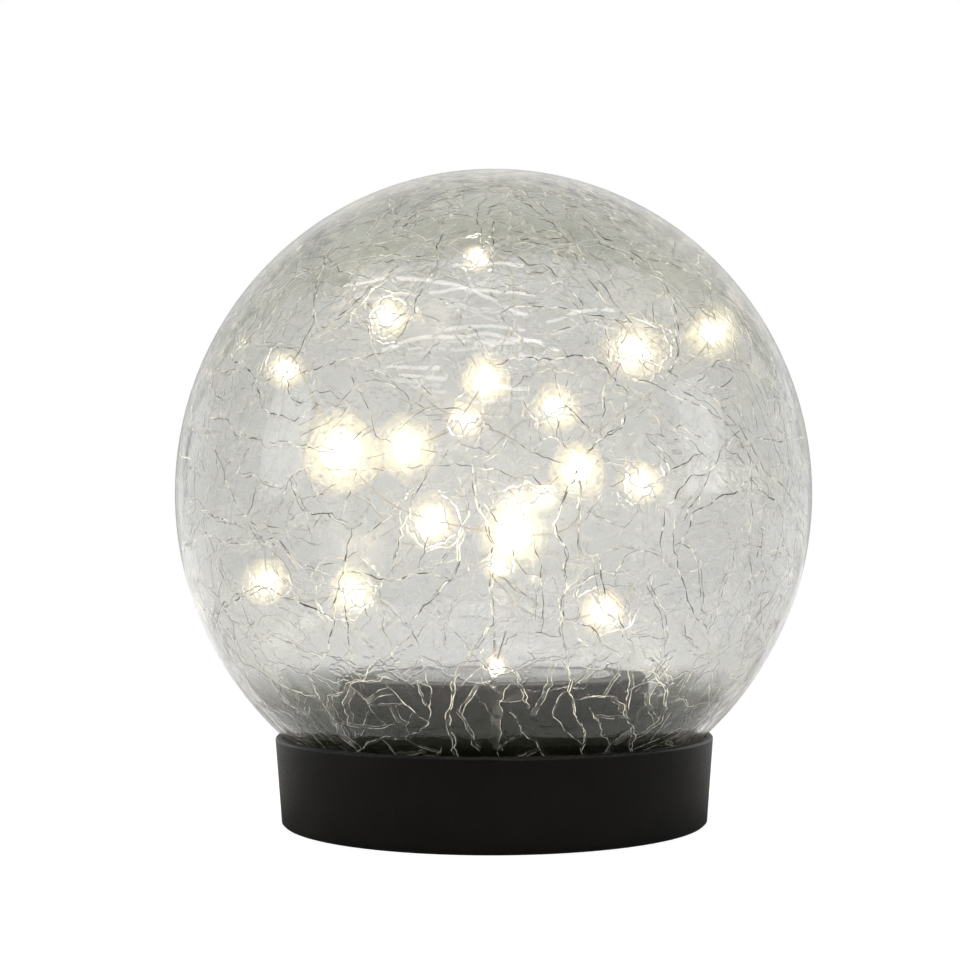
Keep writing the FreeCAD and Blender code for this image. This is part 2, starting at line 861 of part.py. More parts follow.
def make_module_housing():
    body = new_body("module_housing")
    seat_radius = size.panel_radius + size.panel_fit
    turned = revolve(
        body,
        [
            (0, plate_under),
            (module_inner_radius, plate_under),
            (module_inner_radius, module_foot_height),
            (size.module_radius, module_foot_height),
            (size.module_radius, module_top_height),
            (seat_radius, module_top_height),
            (seat_radius, panel_seat_height),
            (0, panel_seat_height),
        ],
    )
    round_rim(
        body,
        turned,
        size.module_radius,
        module_top_height,
        size.module_edge_round,
        "module_edge",
    )
    boss_x, boss_y = polar(size.module_boss_circle, 45)
    boss_ring = new_sketch(body, "module_boss_outline", lift=deck_boss_top)
    add_circle(boss_ring, boss_x, boss_y, size.module_boss_radius)
    boss = pad(body, boss_ring, plate_under - deck_boss_top, "module_boss")
    repeat_round(body, [boss], size.module_screw_count, "module_bosses")
    pilot_ring = new_sketch(body, "module_pilot_outline", lift=deck_boss_top)
    add_circle(pilot_ring, boss_x, boss_y, size.screw_shank_radius + size.thread_fit)
    pilot = pocket(body, pilot_ring, size.module_screw_length, "module_pilot")
    repeat_round(body, [pilot], size.module_screw_count, "module_pilots")

    posts = new_sketch(body, "board_post_outline", lift=board_top)
    for side in (-1, 1):
        add_circle(posts, board_screw_side * side, size.board_centre_back, size.board_post_radius)
    pad(body, posts, size.board_post_drop, "board_posts")
    post_pilots = new_sketch(body, "board_pilot_outline", lift=board_top)
    for side in (-1, 1):
        add_circle(
            post_pilots,
            board_screw_side * side,
            size.board_centre_back,
            size.screw_shank_radius + size.thread_fit,
        )
    pilot_depth = size.board_screw_length - size.board_thickness + size.thread_fit * 4
    pocket(body, post_pilots, pilot_depth, "board_pilots")

    outlet = new_sketch(body, "outlet_outline", lift=plate_under)
    add_circle(outlet, 0, size.outlet_back, size.grommet_barrel_radius + size.thread_fit)
    pocket(body, outlet, size.module_plate, "outlet")
    lead_hole = new_sketch(body, "lead_hole_outline", lift=plate_under)
    add_circle(lead_hole, 0, size.panel_lead_back, size.panel_lead_hole_radius)
    pocket(body, lead_hole, panel_seat_height - plate_under, "lead_hole")


def make_module_gasket():
    body = new_body("module_gasket")
    inner = module_inner_radius + size.module_fit
    revolve(
        body,
        [
            (inner, deck_top),
            (size.module_radius, deck_top),
            (size.module_radius, module_foot_height),
            (inner, module_foot_height),
        ],
    )


def make_panel():
    keep(
        "panel_board",
        cylinder(
            "panel_board", size.panel_radius, size.panel_board_thickness, height=panel_seat_height
        ),
    )
    pitch = size.cell_strip_width + size.cell_strip_gap
    count = int(size.cell_strip_count.value)
    strips = []
    field = cylinder(
        "cell_field", size.cell_field_radius, size.cell_thickness, height=panel_board_top
    )
    for index in range(count):
        left = pitch * (index - count / 2) + size.cell_strip_gap / 2
        strip = box(
            f"cell_blank_{index}",
            left,
            -size.cell_field_radius,
            panel_board_top,
            left + size.cell_strip_width,
            size.cell_field_radius,
            panel_board_top + size.cell_thickness,
        )
        common = doc.addObject("Part::Common", f"cell_{index}")
        common.Base = strip
        common.Tool = field
        strips.append(common)
    cells = keep("solar_cells", compound("solar_cells", strips))

    body = doc.addObject("PartDesign::Body", "resin_blank")
    edge_top = panel_board_top + size.resin_edge_thickness
    crown_top = edge_top + size.resin_crown_rise
    revolve(
        body,
        [
            (0, panel_board_top),
            (size.panel_radius, panel_board_top),
            (size.panel_radius, edge_top),
            (size.resin_crown_radius, crown_top),
            (0, crown_top),
        ],
    )
    keep("panel_resin", cut("panel_resin", body, cells))

    leads = [
        cylinder(
            f"panel_lead_{index}",
            size.lead_wire / 2,
            panel_seat_height - board_top,
            size.panel_lead_spread * side,
            size.panel_lead_back,
            board_top,
        )
        for index, side in enumerate((-1, 1))
    ]
    keep("panel_leads", compound("panel_leads", leads))


# ---------------------------------------------------------------- control board


def make_board():
    half = size.board_length / 2
    blank = box("board_blank", -half, board_front, board_under, half, board_back, board_top)
    holes = [
        cylinder(
            f"board_hole_{index}",
            screw_pass_radius,
            size.board_thickness,
            board_screw_side * side,
            size.board_centre_back,
            board_under,
        )
        for index, side in enumerate((-1, 1))
    ]
    keep("control_board", cut("control_board", blank, fuse("board_holes", holes)))

    row_back = size.board_centre_back + size.component_row_back
    inductor = cylinder(
        "inductor",
        size.inductor_radius,
        size.inductor_height,
        -size.component_pitch,
        row_back,
        board_under - size.inductor_height,
    )
    capacitor = cylinder(
        "capacitor",
        size.capacitor_radius,
        size.capacitor_height,
        0,
        row_back,
        board_under - size.capacitor_height,
    )
    driver = box(
        "driver_chip",
        size.component_pitch - size.driver_length / 2,
        row_back - size.driver_width / 2,
        board_under - size.driver_height,
        size.component_pitch + size.driver_length / 2,
        row_back + size.driver_width / 2,
        board_under,
    )
    keep("board_components", compound("board_components", [inductor, capacitor, driver]))


# ---------------------------------------------------------------- battery, contacts, spring


def make_battery():
    can = cylinder("battery_can", size.battery_radius, size.battery_length)
    button = cylinder(
        "battery_button",
        size.battery_button_radius,
        size.battery_button_length,
        height=size.battery_length,
    )
    cell = keep("battery_cell", fuse("battery_cell", [can, button]))
    cell.Placement.Rotation = FreeCAD.Rotation(Vector(0, 1, 0), 90)
    place(cell, x=battery_left, height=battery_axis_height)

    bottom = size.battery_lift + size.contact_thickness * 2
    half = size.contact_width / 2
    half_tab = size.contact_tab_width / 2
    for name, left, right in (
        ("positive_contact", positive_face, size.tub_right),
        ("negative_contact", -size.tub_left, negative_face),
    ):
        plate = box(name + "_plate", left, -half, bottom, right, half, tub_ceiling)
        tab = box(name + "_tab", left, -half_tab, tub_ceiling, right, half_tab, tab_top)
        keep(name, fuse(name, [plate, tab]))


def make_battery_spring():
    """A cone of wire, on biarcs of a quarter turn, between the contact and the cell."""
    wire = size.spring_wire.value / 2
    left = negative_face.value + wire
    right = battery_left.value - wire
    turns = size.spring_turns.value
    base = size.spring_base_radius.value
    tip = size.spring_tip_radius.value
    steps = int(turns * 4)

    def point(turn):
        share = turn / turns
        radius = base + (tip - base) * share
        angle = 2 * math.pi * turn
        return Vector(
            left + (right - left) * share,
            radius * math.cos(angle),
            battery_axis_height.value + radius * math.sin(angle),
        )

    def heading(turn):
        nudge = 1e-4
        return (point(turn + nudge) - point(turn - nudge)).normalize()

    edges = []
    for step in range(steps):
        near = step / 4
        far = (step + 1) / 4
        edges.extend(biarc(point(near), heading(near), point(far), heading(far)))
    shape = tube(edges, wire, point(0), heading(0))
    keep("battery_spring", shaped("battery_spring", shape))
    count = 720
    more_than_half_a_turn = int(count / turns * 0.6)
    samples = [point(turns * index / count) for index in range(count + 1)]
    least = min(
        here.distanceToPoint(there)
        for index, here in enumerate(samples)
        for there in samples[index + more_than_half_a_turn :]
    )
    print(f"battery spring: least gap between turns {least - 2 * wire:.2f} mm")


def biarc(start, leave, end, arrive):
    """Two arcs that leave start and reach end with the given headings."""
    span = end - start
    both = leave + arrive
    spread = 2 * (1 - leave.dot(arrive))
    reach = (math.sqrt(span.dot(both) ** 2 + spread * span.dot(span)) - span.dot(both)) / spread
    joint = (start + end + (leave - arrive) * reach) * 0.5
    first = arc_between(start, leave, joint)
    second = arc_between(end, -arrive, joint)
    return [first, second]


# ---------------------------------------------------------------- battery cover


def make_battery_cover():
    body = new_body("battery_cover")
    disc = new_sketch(body, "cover_outline", lift=size.foot_stand)
    add_circle(disc, 0, 0, cover_radius)
    flat = pad(body, disc, size.cover_thickness, "cover_disc")
    round_rim(
        body, flat, cover_radius, size.foot_stand, size.base_edge_chamfer, "cover_edge", "Chamfer"
    )
    seat_ring = new_sketch(body, "cover_boss_outline", lift=cover_top)
    add_circle(seat_ring, size.cover_screw_circle, 0, size.cover_boss_radius)
    boss = pad(body, seat_ring, deck_under - cover_top - size.thread_fit, "cover_boss")
    repeat_round(body, [boss], size.cover_screw_count, "cover_bosses")
    head_ring = new_sketch(body, "cover_head_outline", lift=size.foot_stand)
    add_circle(head_ring, size.cover_screw_circle, 0, head_pocket_radius)
    head = pocket(body, head_ring, size.cover_head_pocket, "cover_head")
    repeat_round(body, [head], size.cover_screw_count, "cover_heads")
    pass_ring = new_sketch(body, "cover_pass_outline", lift=size.foot_stand)
    add_circle(pass_ring, size.cover_screw_circle, 0, size.screw_shank_radius + size.thread_fit)
    hole = pocket(body, pass_ring, size.cover_recess_depth, "cover_pass")
    repeat_round(body, [hole], size.cover_screw_count, "cover_passes")

    window = new_sketch(body, "window_outline", lift=size.foot_stand)
    half_length = size.switch_window_length / 2
    half_width = size.switch_window_width / 2
    add_rectangle(
        window,
        -half_length,
        -size.switch_front - half_width,
        half_length,
        -size.switch_front + half_width,
    )
    pocket(body, window, size.cover_thickness, "switch_window")

    notch = new_sketch(body, "notch_outline", lift=size.foot_stand)
    half_notch = size.cover_lift_notch / 2
    add_rectangle(notch, -half_notch, cover_radius - size.cover_thickness, half_notch, cover_radius)
    pocket(body, notch, size.cover_thickness / 2, "lift_notch")

    cradle = new_sketch(body, "cradle_outline", lift=cover_top)
    middle = (size.tub_right - size.tub_left) / 2
    spread = size.battery_length / 4
    for side in (-1, 1):
        centre = middle + spread * side
        add_rectangle(
            cradle,
            centre - size.tub_wall / 2,
            -size.cradle_half_width,
            centre + size.tub_wall / 2,
            size.cradle_half_width,
        )
    pad(body, cradle, size.battery_lift - cover_top - size.thread_fit * 2, "battery_cradle")


def make_cover_gaskets():
    body = new_body("cover_gasket")
    outer = cover_radius - size.knob_fit
    inner = outer - size.cover_gasket_width
    top = deck_under - size.thread_fit
    revolve(body, [(inner, cover_top), (outer, cover_top), (outer, top), (inner, top)])

    half_length = size.switch_window_length / 2
    half_width = size.switch_window_width / 2
    wide = size.window_gasket_width
    frame = box(
        "window_gasket_blank",
        -half_length - wide,
        -size.switch_front - half_width - wide,
        cover_top,
        half_length + wide,
        -size.switch_front + half_width + wide,
        top,
    )
    opening = box(
        "window_gasket_opening",
        -half_length,
        -size.switch_front - half_width,
        cover_top,
        half_length,
        -size.switch_front + half_width,
        top,
    )
    keep("window_gasket", cut("window_gasket", frame, opening))


# ---------------------------------------------------------------- switch


def make_switch():
    front = -size.switch_front
    half_length = size.switch_length / 2
    half_width = size.switch_width / 2
    half_bracket = size.switch_bracket_length / 2
    bracket = box(
        "switch_bracket",
        -half_bracket,
        front - half_width,
        deck_top,
        half_bracket,
        front + half_width,
        bracket_top,
    )
    shell = box(
        "switch_shell",
        -half_length,
        front - half_width,
        bracket_top,
        half_length,
        front + half_width,
        switch_top,
    )
    room_half_length = half_length - size.switch_shell_wall
    room_half_width = half_width - size.switch_shell_wall
    room = box(
        "switch_room",
        -room_half_length,
        front - room_half_width,
        bracket_top,
        room_half_length,
        front + room_half_width,
        bracket_top + size.carrier_thickness + size.knob_fit * 2,
    )
    slot = box(
        "switch_slot",
        -(knob_slot_length / 2),
        front - knob_slot_width / 2,
        deck_top,
        knob_slot_length / 2,
        front + knob_slot_width / 2,
        bracket_top,
    )
    ears = [
        cylinder(
            f"switch_ear_{index}",
            screw_pass_radius,
            size.switch_bracket_thickness,
            size.switch_screw_spread * side,
            front,
            deck_top,
        )
        for index, side in enumerate((-1, 1))
    ]
    hollow = fuse("switch_hollow", [room, slot] + ears)
    keep("switch_body", cut("switch_body", fuse("switch_solid", [bracket, shell]), hollow))

    carrier_half = room_half_length - size.knob_travel / 2 - size.knob_fit / 2
    carrier_bottom = bracket_top + size.knob_fit
    carrier = box(
        "switch_carrier",
        knob_rest_x - carrier_half,
        front - room_half_width + size.knob_fit,
        carrier_bottom,
        knob_rest_x + carrier_half,
        front + room_half_width - size.knob_fit,
        carrier_bottom + size.carrier_thickness,
    )
    half_knob = size.knob_length / 2
    stem = box(
        "switch_stem",
        knob_rest_x - half_knob,
        front - size.knob_width / 2,
        size.knob_tip_height,
        knob_rest_x + half_knob,
        front + size.knob_width / 2,
        carrier_bottom,
    )
    grooves = [
        box(
            f"knob_groove_{index}",
            knob_rest_x + (size.knob_length / 4) * side - size.knob_fit,
            front - size.knob_width / 2,
            size.knob_tip_height,
            knob_rest_x + (size.knob_length / 4) * side + size.knob_fit,
            front + size.knob_width / 2,
            size.knob_tip_height + size.knob_fit * 2,
        )
        for index, side in enumerate((-1, 0, 1))
    ]
    slider = cut("switch_slider", fuse("slider_solid", [carrier, stem]), fuse("grooves", grooves))
    keep("switch_slider", slider)

    half_pin = size.switch_pin_width / 2
    pins = [
        box(
            f"switch_pin_{index}",
            size.switch_pin_pitch * side - half_pin,
            front - half_pin,
            switch_top,
            size.switch_pin_pitch * side + half_pin,
            front + half_pin,
            switch_top + size.switch_pin_length,
        )
        for index, side in enumerate((-1, 0, 1))
    ]
    keep("switch_pins", compound("switch_pins", pins))


# ---------------------------------------------------------------- grommet, leads, string


def make_grommet():
    body = doc.addObject("PartDesign::Body", "string_grommet")
    under = plate_under - size.grommet_flange_thickness
    lower_flange = size.grommet_flange_radius - size.grommet_bore / 2
    revolve(
        body,
        [
            (size.grommet_bore, under),
            (lower_flange, under),
            (lower_flange, plate_under),
            (size.grommet_barrel_radius, plate_under),
            (size.grommet_barrel_radius, module_top_height),
            (size.grommet_flange_radius, module_top_height),
            (size.grommet_flange_radius - size.grommet_flange_thickness / 2, outlet_top),
            (size.grommet_bore, outlet_top),
        ],
    )
    keep("string_grommet", body)
    place(body, y=size.outlet_back)


def make_leads():
    lead_radius = size.lead_wire.value / 2
    tab_height = (tub_top.value + tab_top.value) / 2
    board_middle = (board_top.value + board_under.value) / 2
    board_end = size.board_length.value / 2
    lead_front = board_front.value + size.board_screw_inset.value
    right_face = positive_face.value
    left_face = negative_face.value
    third = (right_face - board_end) / 3
    right = [
        Vector(right_face, 0, tab_height),
        Vector(right_face - third, 0, tab_height),
        Vector(board_end + third, lead_front, board_middle),
        Vector(board_end, lead_front, board_middle),
    ]
    third = (-left_face - board_end) / 3
    left = [
        Vector(left_face, 0, tab_height),
        Vector(left_face + third, 0, tab_height),
        Vector(-board_end - third, lead_front, board_middle),
        Vector(-board_end, lead_front, board_middle),
    ]
    shape = Part.makeCompound([lead(right, lead_radius), lead(left, lead_radius)])
    keep("battery_leads", shaped("battery_leads", shape))

    pin_top = switch_top.value + size.switch_pin_length.value
    front = -size.switch_front.value
    runs = []
    for side in (-1, 0):
        x = size.switch_pin_pitch.value * side
        runs.append(
            lead(
                [
                    Vector(x, front, pin_top),
                    Vector(x, front, board_middle - 2 * lead_radius),
                    Vector(x, front / 2, board_middle),
                    Vector(x, board_front.value, board_middle),
                ],
                lead_radius,
            )
        )
    keep("switch_leads", shaped("switch_leads", Part.makeCompound(runs)))

    tail = [
        Vector(0, size.outlet_back.value, outlet_top.value),
        Vector(0, size.outlet_back.value, board_middle),
        Vector(0, board_back.value, board_middle),
    ]
    tail_shape = lead(tail, size.string_wire.value / 2)
    keep("string_tail", shaped("string_tail", tail_shape))


def make_string():
    """The wire of the lamp string, and the lamps on it."""
    points = [Vector(0, size.outlet_back.value, outlet_top.value)]
    points += [Vector(*spot) for spot in STRING_ROUTE]
    edges, radii = rounded_route(points)
    wire_radius = size.string_wire.value / 2
    shape = tube(edges, wire_radius, points[0], points[1] - points[0])
    length = sum(edge.Length for edge in edges)
    print(f"string: {length:.0f} mm, bend radii {min(radii):.1f} to {max(radii):.1f} mm")
    print("  " + " ".join(f"{radius:.0f}" for radius in radii))
    share = shape.Volume / (math.pi * wire_radius**2 * length)
    print(f"string: volume over section times length {share:.4f}")
    keep("led_wire", shaped("led_wire", shape))

    bore = wire_radius + size.lamp_bore_fit.value
    half = size.lamp_length.value / 2
    low = Vector(bore, 0, -half)
    high = Vector(bore, 0, half)
    crown = Part.Arc(low, Vector(size.lamp_radius.value, 0, 0), high)
    side = Part.LineSegment(high, low)
    face = Part.Face(Part.Wire([crown.toShape(), side.toShape()]))
    bead = face.revolve(Vector(0, 0, 0), Vector(0, 0, 1), 360)
    beads = []
    for index in LAMP_RUNS:
        run = points[index + 1] - points[index]
        middle = (points[index] + points[index + 1]) * 0.5
        lamp = bead.copy()
        lamp.Placement = FreeCAD.Placement(middle, FreeCAD.Rotation(Vector(0, 0, 1), run))
        beads.append(lamp)
    print(f"string: {len(beads)} lamps")
    keep("led_beads", shaped("led_beads", Part.makeCompound(beads)))


# ---------------------------------------------------------------- build, check, write

make_glass_globe()
make_neck_gasket()
make_rim_sealant()
make_base_housing()
make_rubber_feet()
make_module_housing()
make_module_gasket()
make_panel()
make_board()
make_battery()
make_battery_spring()
make_battery_cover()
make_cover_gaskets()
make_switch()
make_screws()
make_grommet()
make_leads()
make_string()

doc.recompute()
faults = [item.Name for item in doc.Objects if {"Invalid", "Error"} & set(item.State)]
for name, item in parts.items():
    if item.Shape.isNull() or not item.Shape.isValid() or not item.Shape.Solids:
        faults.append(name)
for feature in cuts:
    if feature.Shape.Volume >= feature.BaseFeature.Shape.Volume - 1e-6:
        faults.append(feature.Name)
if faults:
    raise RuntimeError("not sound: " + ", ".join(faults))

os.makedirs("parts", exist_ok=True)
for name, item in parts.items():
    item.Shape.exportStep(f"parts/{name}.step")
    print(f"{name}: {len(item.Shape.Solids)} solids, {item.Shape.Volume:.1f} mm3")
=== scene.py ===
import json
import math
import random

import bmesh
import bpy
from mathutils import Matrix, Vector


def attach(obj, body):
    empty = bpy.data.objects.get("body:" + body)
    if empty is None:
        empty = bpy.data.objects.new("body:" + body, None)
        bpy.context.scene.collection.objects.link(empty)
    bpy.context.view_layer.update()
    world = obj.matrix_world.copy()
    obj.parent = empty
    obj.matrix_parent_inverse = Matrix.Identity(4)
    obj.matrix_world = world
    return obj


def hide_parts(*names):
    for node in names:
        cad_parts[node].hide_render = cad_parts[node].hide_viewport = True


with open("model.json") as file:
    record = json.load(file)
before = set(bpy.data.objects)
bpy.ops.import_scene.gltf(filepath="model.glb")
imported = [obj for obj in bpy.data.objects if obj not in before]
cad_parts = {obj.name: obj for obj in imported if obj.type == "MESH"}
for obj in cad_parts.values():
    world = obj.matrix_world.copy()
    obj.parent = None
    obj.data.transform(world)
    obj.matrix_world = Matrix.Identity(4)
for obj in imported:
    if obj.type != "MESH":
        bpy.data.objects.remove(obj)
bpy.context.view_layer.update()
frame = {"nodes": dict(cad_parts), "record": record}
nodes = frame["nodes"]
scene = bpy.context.scene
mm = 0.001

# ---------------------------------------------------------------- camera

# Fitted to the photo: 35 cm in front of the light, a little below its middle.
LENS, SENSOR, SIDE_SHIFT = 54.6, 36, -0.0144
CAMERA_PLACE = (0, -350 * mm, 53.96 * mm)
CAMERA_TILT, CAMERA_ROLL = 4.339, 0.175

camera_data = bpy.data.cameras.new("camera")
camera_data.lens = LENS
camera_data.sensor_width = SENSOR
camera_data.shift_x = SIDE_SHIFT
camera_data.clip_start = 0.01
camera_data.clip_end = 50
camera = bpy.data.objects.new("camera", camera_data)
camera.location = CAMERA_PLACE
camera.rotation_euler = (math.radians(90 + CAMERA_TILT), math.radians(CAMERA_ROLL), 0)
scene.collection.objects.link(camera)
scene.camera = camera

# The glass, its cracks and the glow shells lie one behind another, so light needs many steps.
scene.view_settings.view_transform = "Standard"
scene.cycles.max_bounces = 16
scene.cycles.transmission_bounces = 12
scene.cycles.transparent_max_bounces = 48
scene.cycles.glossy_bounces = 6
scene.cycles.sample_clamp_indirect = 6

# ---------------------------------------------------------------- shader nodes


def feed(tree, value, socket):
    """Set an input to a value, or link another node's output to it."""
    if isinstance(value, bpy.types.NodeSocket):
        tree.links.new(value, socket)
    elif socket.type == "RGBA":
        socket.default_value = (*value, 1)
    else:
        socket.default_value = value


def add_node(tree, kind, **inputs):
    """A shader node. An input's name has _ for each space."""
    node = tree.nodes.new(f"ShaderNode{kind}")
    for name, value in inputs.items():
        feed(tree, value, node.inputs[name.replace("_", " ")])
    return node


def combined(tree, kind, *values):
    """The output of a node that is fed in the order of its inputs."""
    node = tree.nodes.new(f"ShaderNode{kind}")
    for value, socket in zip(values, node.inputs):
        feed(tree, value, socket)
    return node.outputs[0]


def arithmetic(tree, operation, *values, kind="Math"):
    node = tree.nodes.new(f"ShaderNode{kind}")
    node.operation = operation
    for value, socket in zip(values, node.inputs):
        feed(tree, value, socket)
    return node.outputs[0]


def mixed(tree, share, first, second):
    """Two shaders: share 0 gives the first and 1 the second."""
    return combined(tree, "MixShader", share, first, second)


def coordinates(tree, kind="Object"):
    return tree.nodes.new("ShaderNodeTexCoord").outputs[kind]


def axis(tree, name, place):
    """One of the three numbers of a place or a direction."""
    split = add_node(tree, "SeparateXYZ", Vector=place)
    return split.outputs[name]


def noise(tree, scale, detail=3.0, roughness=0.5):
    node = add_node(
        tree,
        "TexNoise",
        Vector=coordinates(tree),
        Scale=scale,
        Detail=detail,
        Roughness=roughness,
    )
    return node.outputs["Fac"]


def ramp(tree, source, *stops):
    """Colours over a number. Each stop is (place, colour), and one number is a grey."""
    node = add_node(tree, "ValToRGB", Fac=source)
    elements = node.color_ramp.elements
    for _ in stops[2:]:
        elements.new(0.5)
    for element, (place, colour) in zip(elements, stops):
        if isinstance(colour, float):
            colour = (colour, colour, colour)
        element.position = place
        element.color = (*colour, 1)
    return node.outputs["Color"]


def low_share(tree, start, end):
    """0 above the height start, 1 below the height end, both in metres."""
    height = axis(tree, "Z", coordinates(tree))
    low = add_node(tree, "MapRange", Value=height, From_Min=start, From_Max=end)
    return low.outputs[0]


def bump(tree, height, strength, distance):
    node = add_node(tree, "Bump", Strength=strength, Distance=distance, Height=height)
    return node.outputs["Normal"]


def principled(tree, **inputs):
    return add_node(tree, "BsdfPrincipled", **inputs).outputs[0]


def transparent(tree):
    return add_node(tree, "BsdfTransparent").outputs[0]


def new_material(name):
    material = bpy.data.materials.new(name)
    material.use_nodes = True
    material.node_tree.nodes.clear()
    return material, material.node_tree


def finished(material, surface):
    """The material with this shader as its surface."""
    tree = material.node_tree
    output = tree.nodes.new("ShaderNodeOutputMaterial")
    tree.links.new(surface, output.inputs["Surface"])
    return material


# ---------------------------------------------------------------- materials


def moulded(name, dark, light, roughness, grain=2200.0, depth=0.00004):
    """Plastic, rubber or lacquer with soft clouds of colour and a fine grain."""
    material, tree = new_material(name)
    fine = noise(tree, grain, 2.0)
    low, high = roughness
    shader = principled(
        tree,
        Base_Color=ramp(tree, noise(tree, 60.0, 4.0), (0.3, dark), (0.7, light)),
        Roughness=ramp(tree, fine, (0.3, low), (0.7, high)),
        Normal=bump(tree, fine, 0.5, depth),
    )
    return finished(material, shader)


def metal(name, dark, light, roughness):
    material, tree = new_material(name)
    clouds = noise(tree, 500.0, 4.0)
    low, high = roughness
    shader = principled(
        tree,
        Metallic=1.0,
        Base_Color=ramp(tree, clouds, (0.35, dark), (0.65, light)),
        Roughness=ramp(tree, clouds, (0.3, low), (0.7, high)),
    )
    return finished(material, shader)


def glass_material():
    """Clear glass with a soft swell and with the fine jagged grooves of a crackle."""
    material, tree = new_material("glass_clear")
    place = coordinates(tree)
    jag = add_node(tree, "TexNoise", Vector=place, Scale=260.0).outputs["Color"]
    shifted = arithmetic(tree, "MULTIPLY_ADD", jag, (0.004,) * 3, place, kind="VectorMath")
    cells = add_node(tree, "TexVoronoi", Scale=120.0, Vector=shifted)
    cells.feature = "DISTANCE_TO_EDGE"
    groove = ramp(tree, cells.outputs["Distance"], (0.0, 0.0), (0.03, 1.0))
    relief = arithmetic(tree, "MULTIPLY_ADD", groove, 0.055, noise(tree, 45.0, 2.0))
    shader = principled(
        tree,
        Base_Color=(0.785, 0.789, 0.787),
        Roughness=0.04,
        IOR=1.5,
        Transmission_Weight=1.0,
        Normal=bump(tree, relief, 0.3, 0.0012),
    )
    return finished(material, shader)


def crack_material():
    """The faces of a crack, almost clear, with a glint here and there."""
    material, tree = new_material("glass_crack_faces")
    amount = ramp(tree, noise(tree, 330.0), (0.46, 0.02), (0.68, 0.34))
    mirror = add_node(tree, "BsdfGlossy", Color=(0.95, 0.97, 0.96), Roughness=0.12)
    back = add_node(tree, "BsdfTranslucent", Color=(0.96, 0.96, 0.94))
    face = mixed(tree, 0.3, mirror.outputs[0], back.outputs[0])
    return finished(material, mixed(tree, amount, transparent(tree), face))


def both_ways(tree, colour):
    """A thin white or dark layer that is lit from its front and from behind."""
    front = add_node(tree, "BsdfDiffuse", Color=colour)
    back = add_node(tree, "BsdfTranslucent", Color=colour)
    return mixed(tree, 0.5, front.outputs[0], back.outputs[0])


def crack_lip_material():
    """The broken lips of a crack in painted light: dark for a painted reflection of the dim
    room, white in painted glints.
    """
    material, tree = new_material("glass_crack_lips")
    amount = ramp(tree, noise(tree, 480.0, 2.0), (0.40, 0.15), (0.52, 0.96))
    # Painted glints: white flecks at random, and every lip white low down by the neck where
    # the cracks shine over the dark base; elsewhere dark as a painted reflection of the dim
    # room.
    painted_glints = ramp(tree, noise(tree, 300.0, 2.0), (0.50, 0.0), (0.57, 1.0))
    white = arithmetic(tree, "MAXIMUM", painted_glints, low_share(tree, 0.046, 0.036))
    colour = ramp(tree, white, (0.0, (0.06, 0.06, 0.055)), (1.0, (0.96, 0.96, 0.94)))
    return finished(material, mixed(tree, amount, transparent(tree), both_ways(tree, colour)))


def crazing_material():
    """Fine crazing on the inner face of the glass, with a painted shade band down by the neck
    where the dark base shows through.
    """
    material, tree = new_material("glass_crazing")
    patches = ramp(tree, noise(tree, 900.0, 5.0, 0.65), (0.40, 0.01), (0.66, 0.12))
    fade = ramp(tree, low_share(tree, 0.045, 0.028), (0.0, 1.0), (1.0, 0.03))
    amount = arithmetic(tree, "MULTIPLY", patches, fade)
    white = both_ways(tree, (0.95, 0.95, 0.93))
    hazy = mixed(tree, amount, transparent(tree), white)

    # Painted shade: a dark layer low on the glass, made uneven by noise, stands in for the
    # dark base seen through the glass.
    painted_shade = add_node(tree, "BsdfDiffuse", Color=(0.030, 0.036, 0.018))
    uneven = arithmetic(tree, "MULTIPLY", low_share(tree, 0.037, 0.018), noise(tree, 70.0))
    dark = ramp(tree, uneven, (0.09, 0.0), (0.26, 0.84))
    return finished(material, mixed(tree, dark, hazy, painted_shade.outputs[0]))


def lamp_material():
    """Clear yellowish resin that glows round its chip."""
    material, tree = new_material("lamp_resin_glow")
    clouds = noise(tree, 900.0, 2.0)
    shader = principled(
        tree,
        Base_Color=ramp(tree, clouds, (0.3, (0.95, 0.80, 0.45)), (0.7, (1.0, 0.92, 0.68))),
        Roughness=0.15,
        IOR=1.5,
        Emission_Color=(1.0, 0.95, 0.82),
        Emission_Strength=14.0,
    )
    return finished(material, shader)


def cell_material():
    """Dark blue silicon with the thin bright fingers of a solar cell."""
    material, tree = new_material("solar_cell_silicon")
    fingers = add_node(tree, "TexWave", Vector=coordinates(tree), Scale=260.0)
    fingers.bands_direction = "Y"
    silicon, finger = (0.010, 0.014, 0.035), (0.25, 0.26, 0.28)
    colour = ramp(tree, fingers.outputs["Fac"], (0.90, silicon), (0.97, finger))
    return finished(material, principled(tree, Base_Color=colour, Roughness=0.2))


def resin_material():
    material, tree = new_material("panel_clear_resin")
    shader = principled(
        tree,
        Base_Color=(0.86, 0.87, 0.84),
        Roughness=0.06,
        IOR=1.5,
        Transmission_Weight=1.0,
        Normal=bump(tree, noise(tree, 120.0, 2.0), 0.2, 0.0004),
    )
    return finished(material, shader)


def glow_material(number, most, colour):
    """The soft glow round a lit lamp, thinner and warmer in its outer shells."""
    material, tree = new_material(f"lamp_glow_{number}")
    amount = ramp(tree, noise(tree, 760.0, 3.0, 0.6), (0.40, 0.0), (0.66, most))
    shine = add_node(tree, "Emission", Color=colour, Strength=3.0)
    return finished(material, mixed(tree, amount, transparent(tree), shine.outputs[0]))


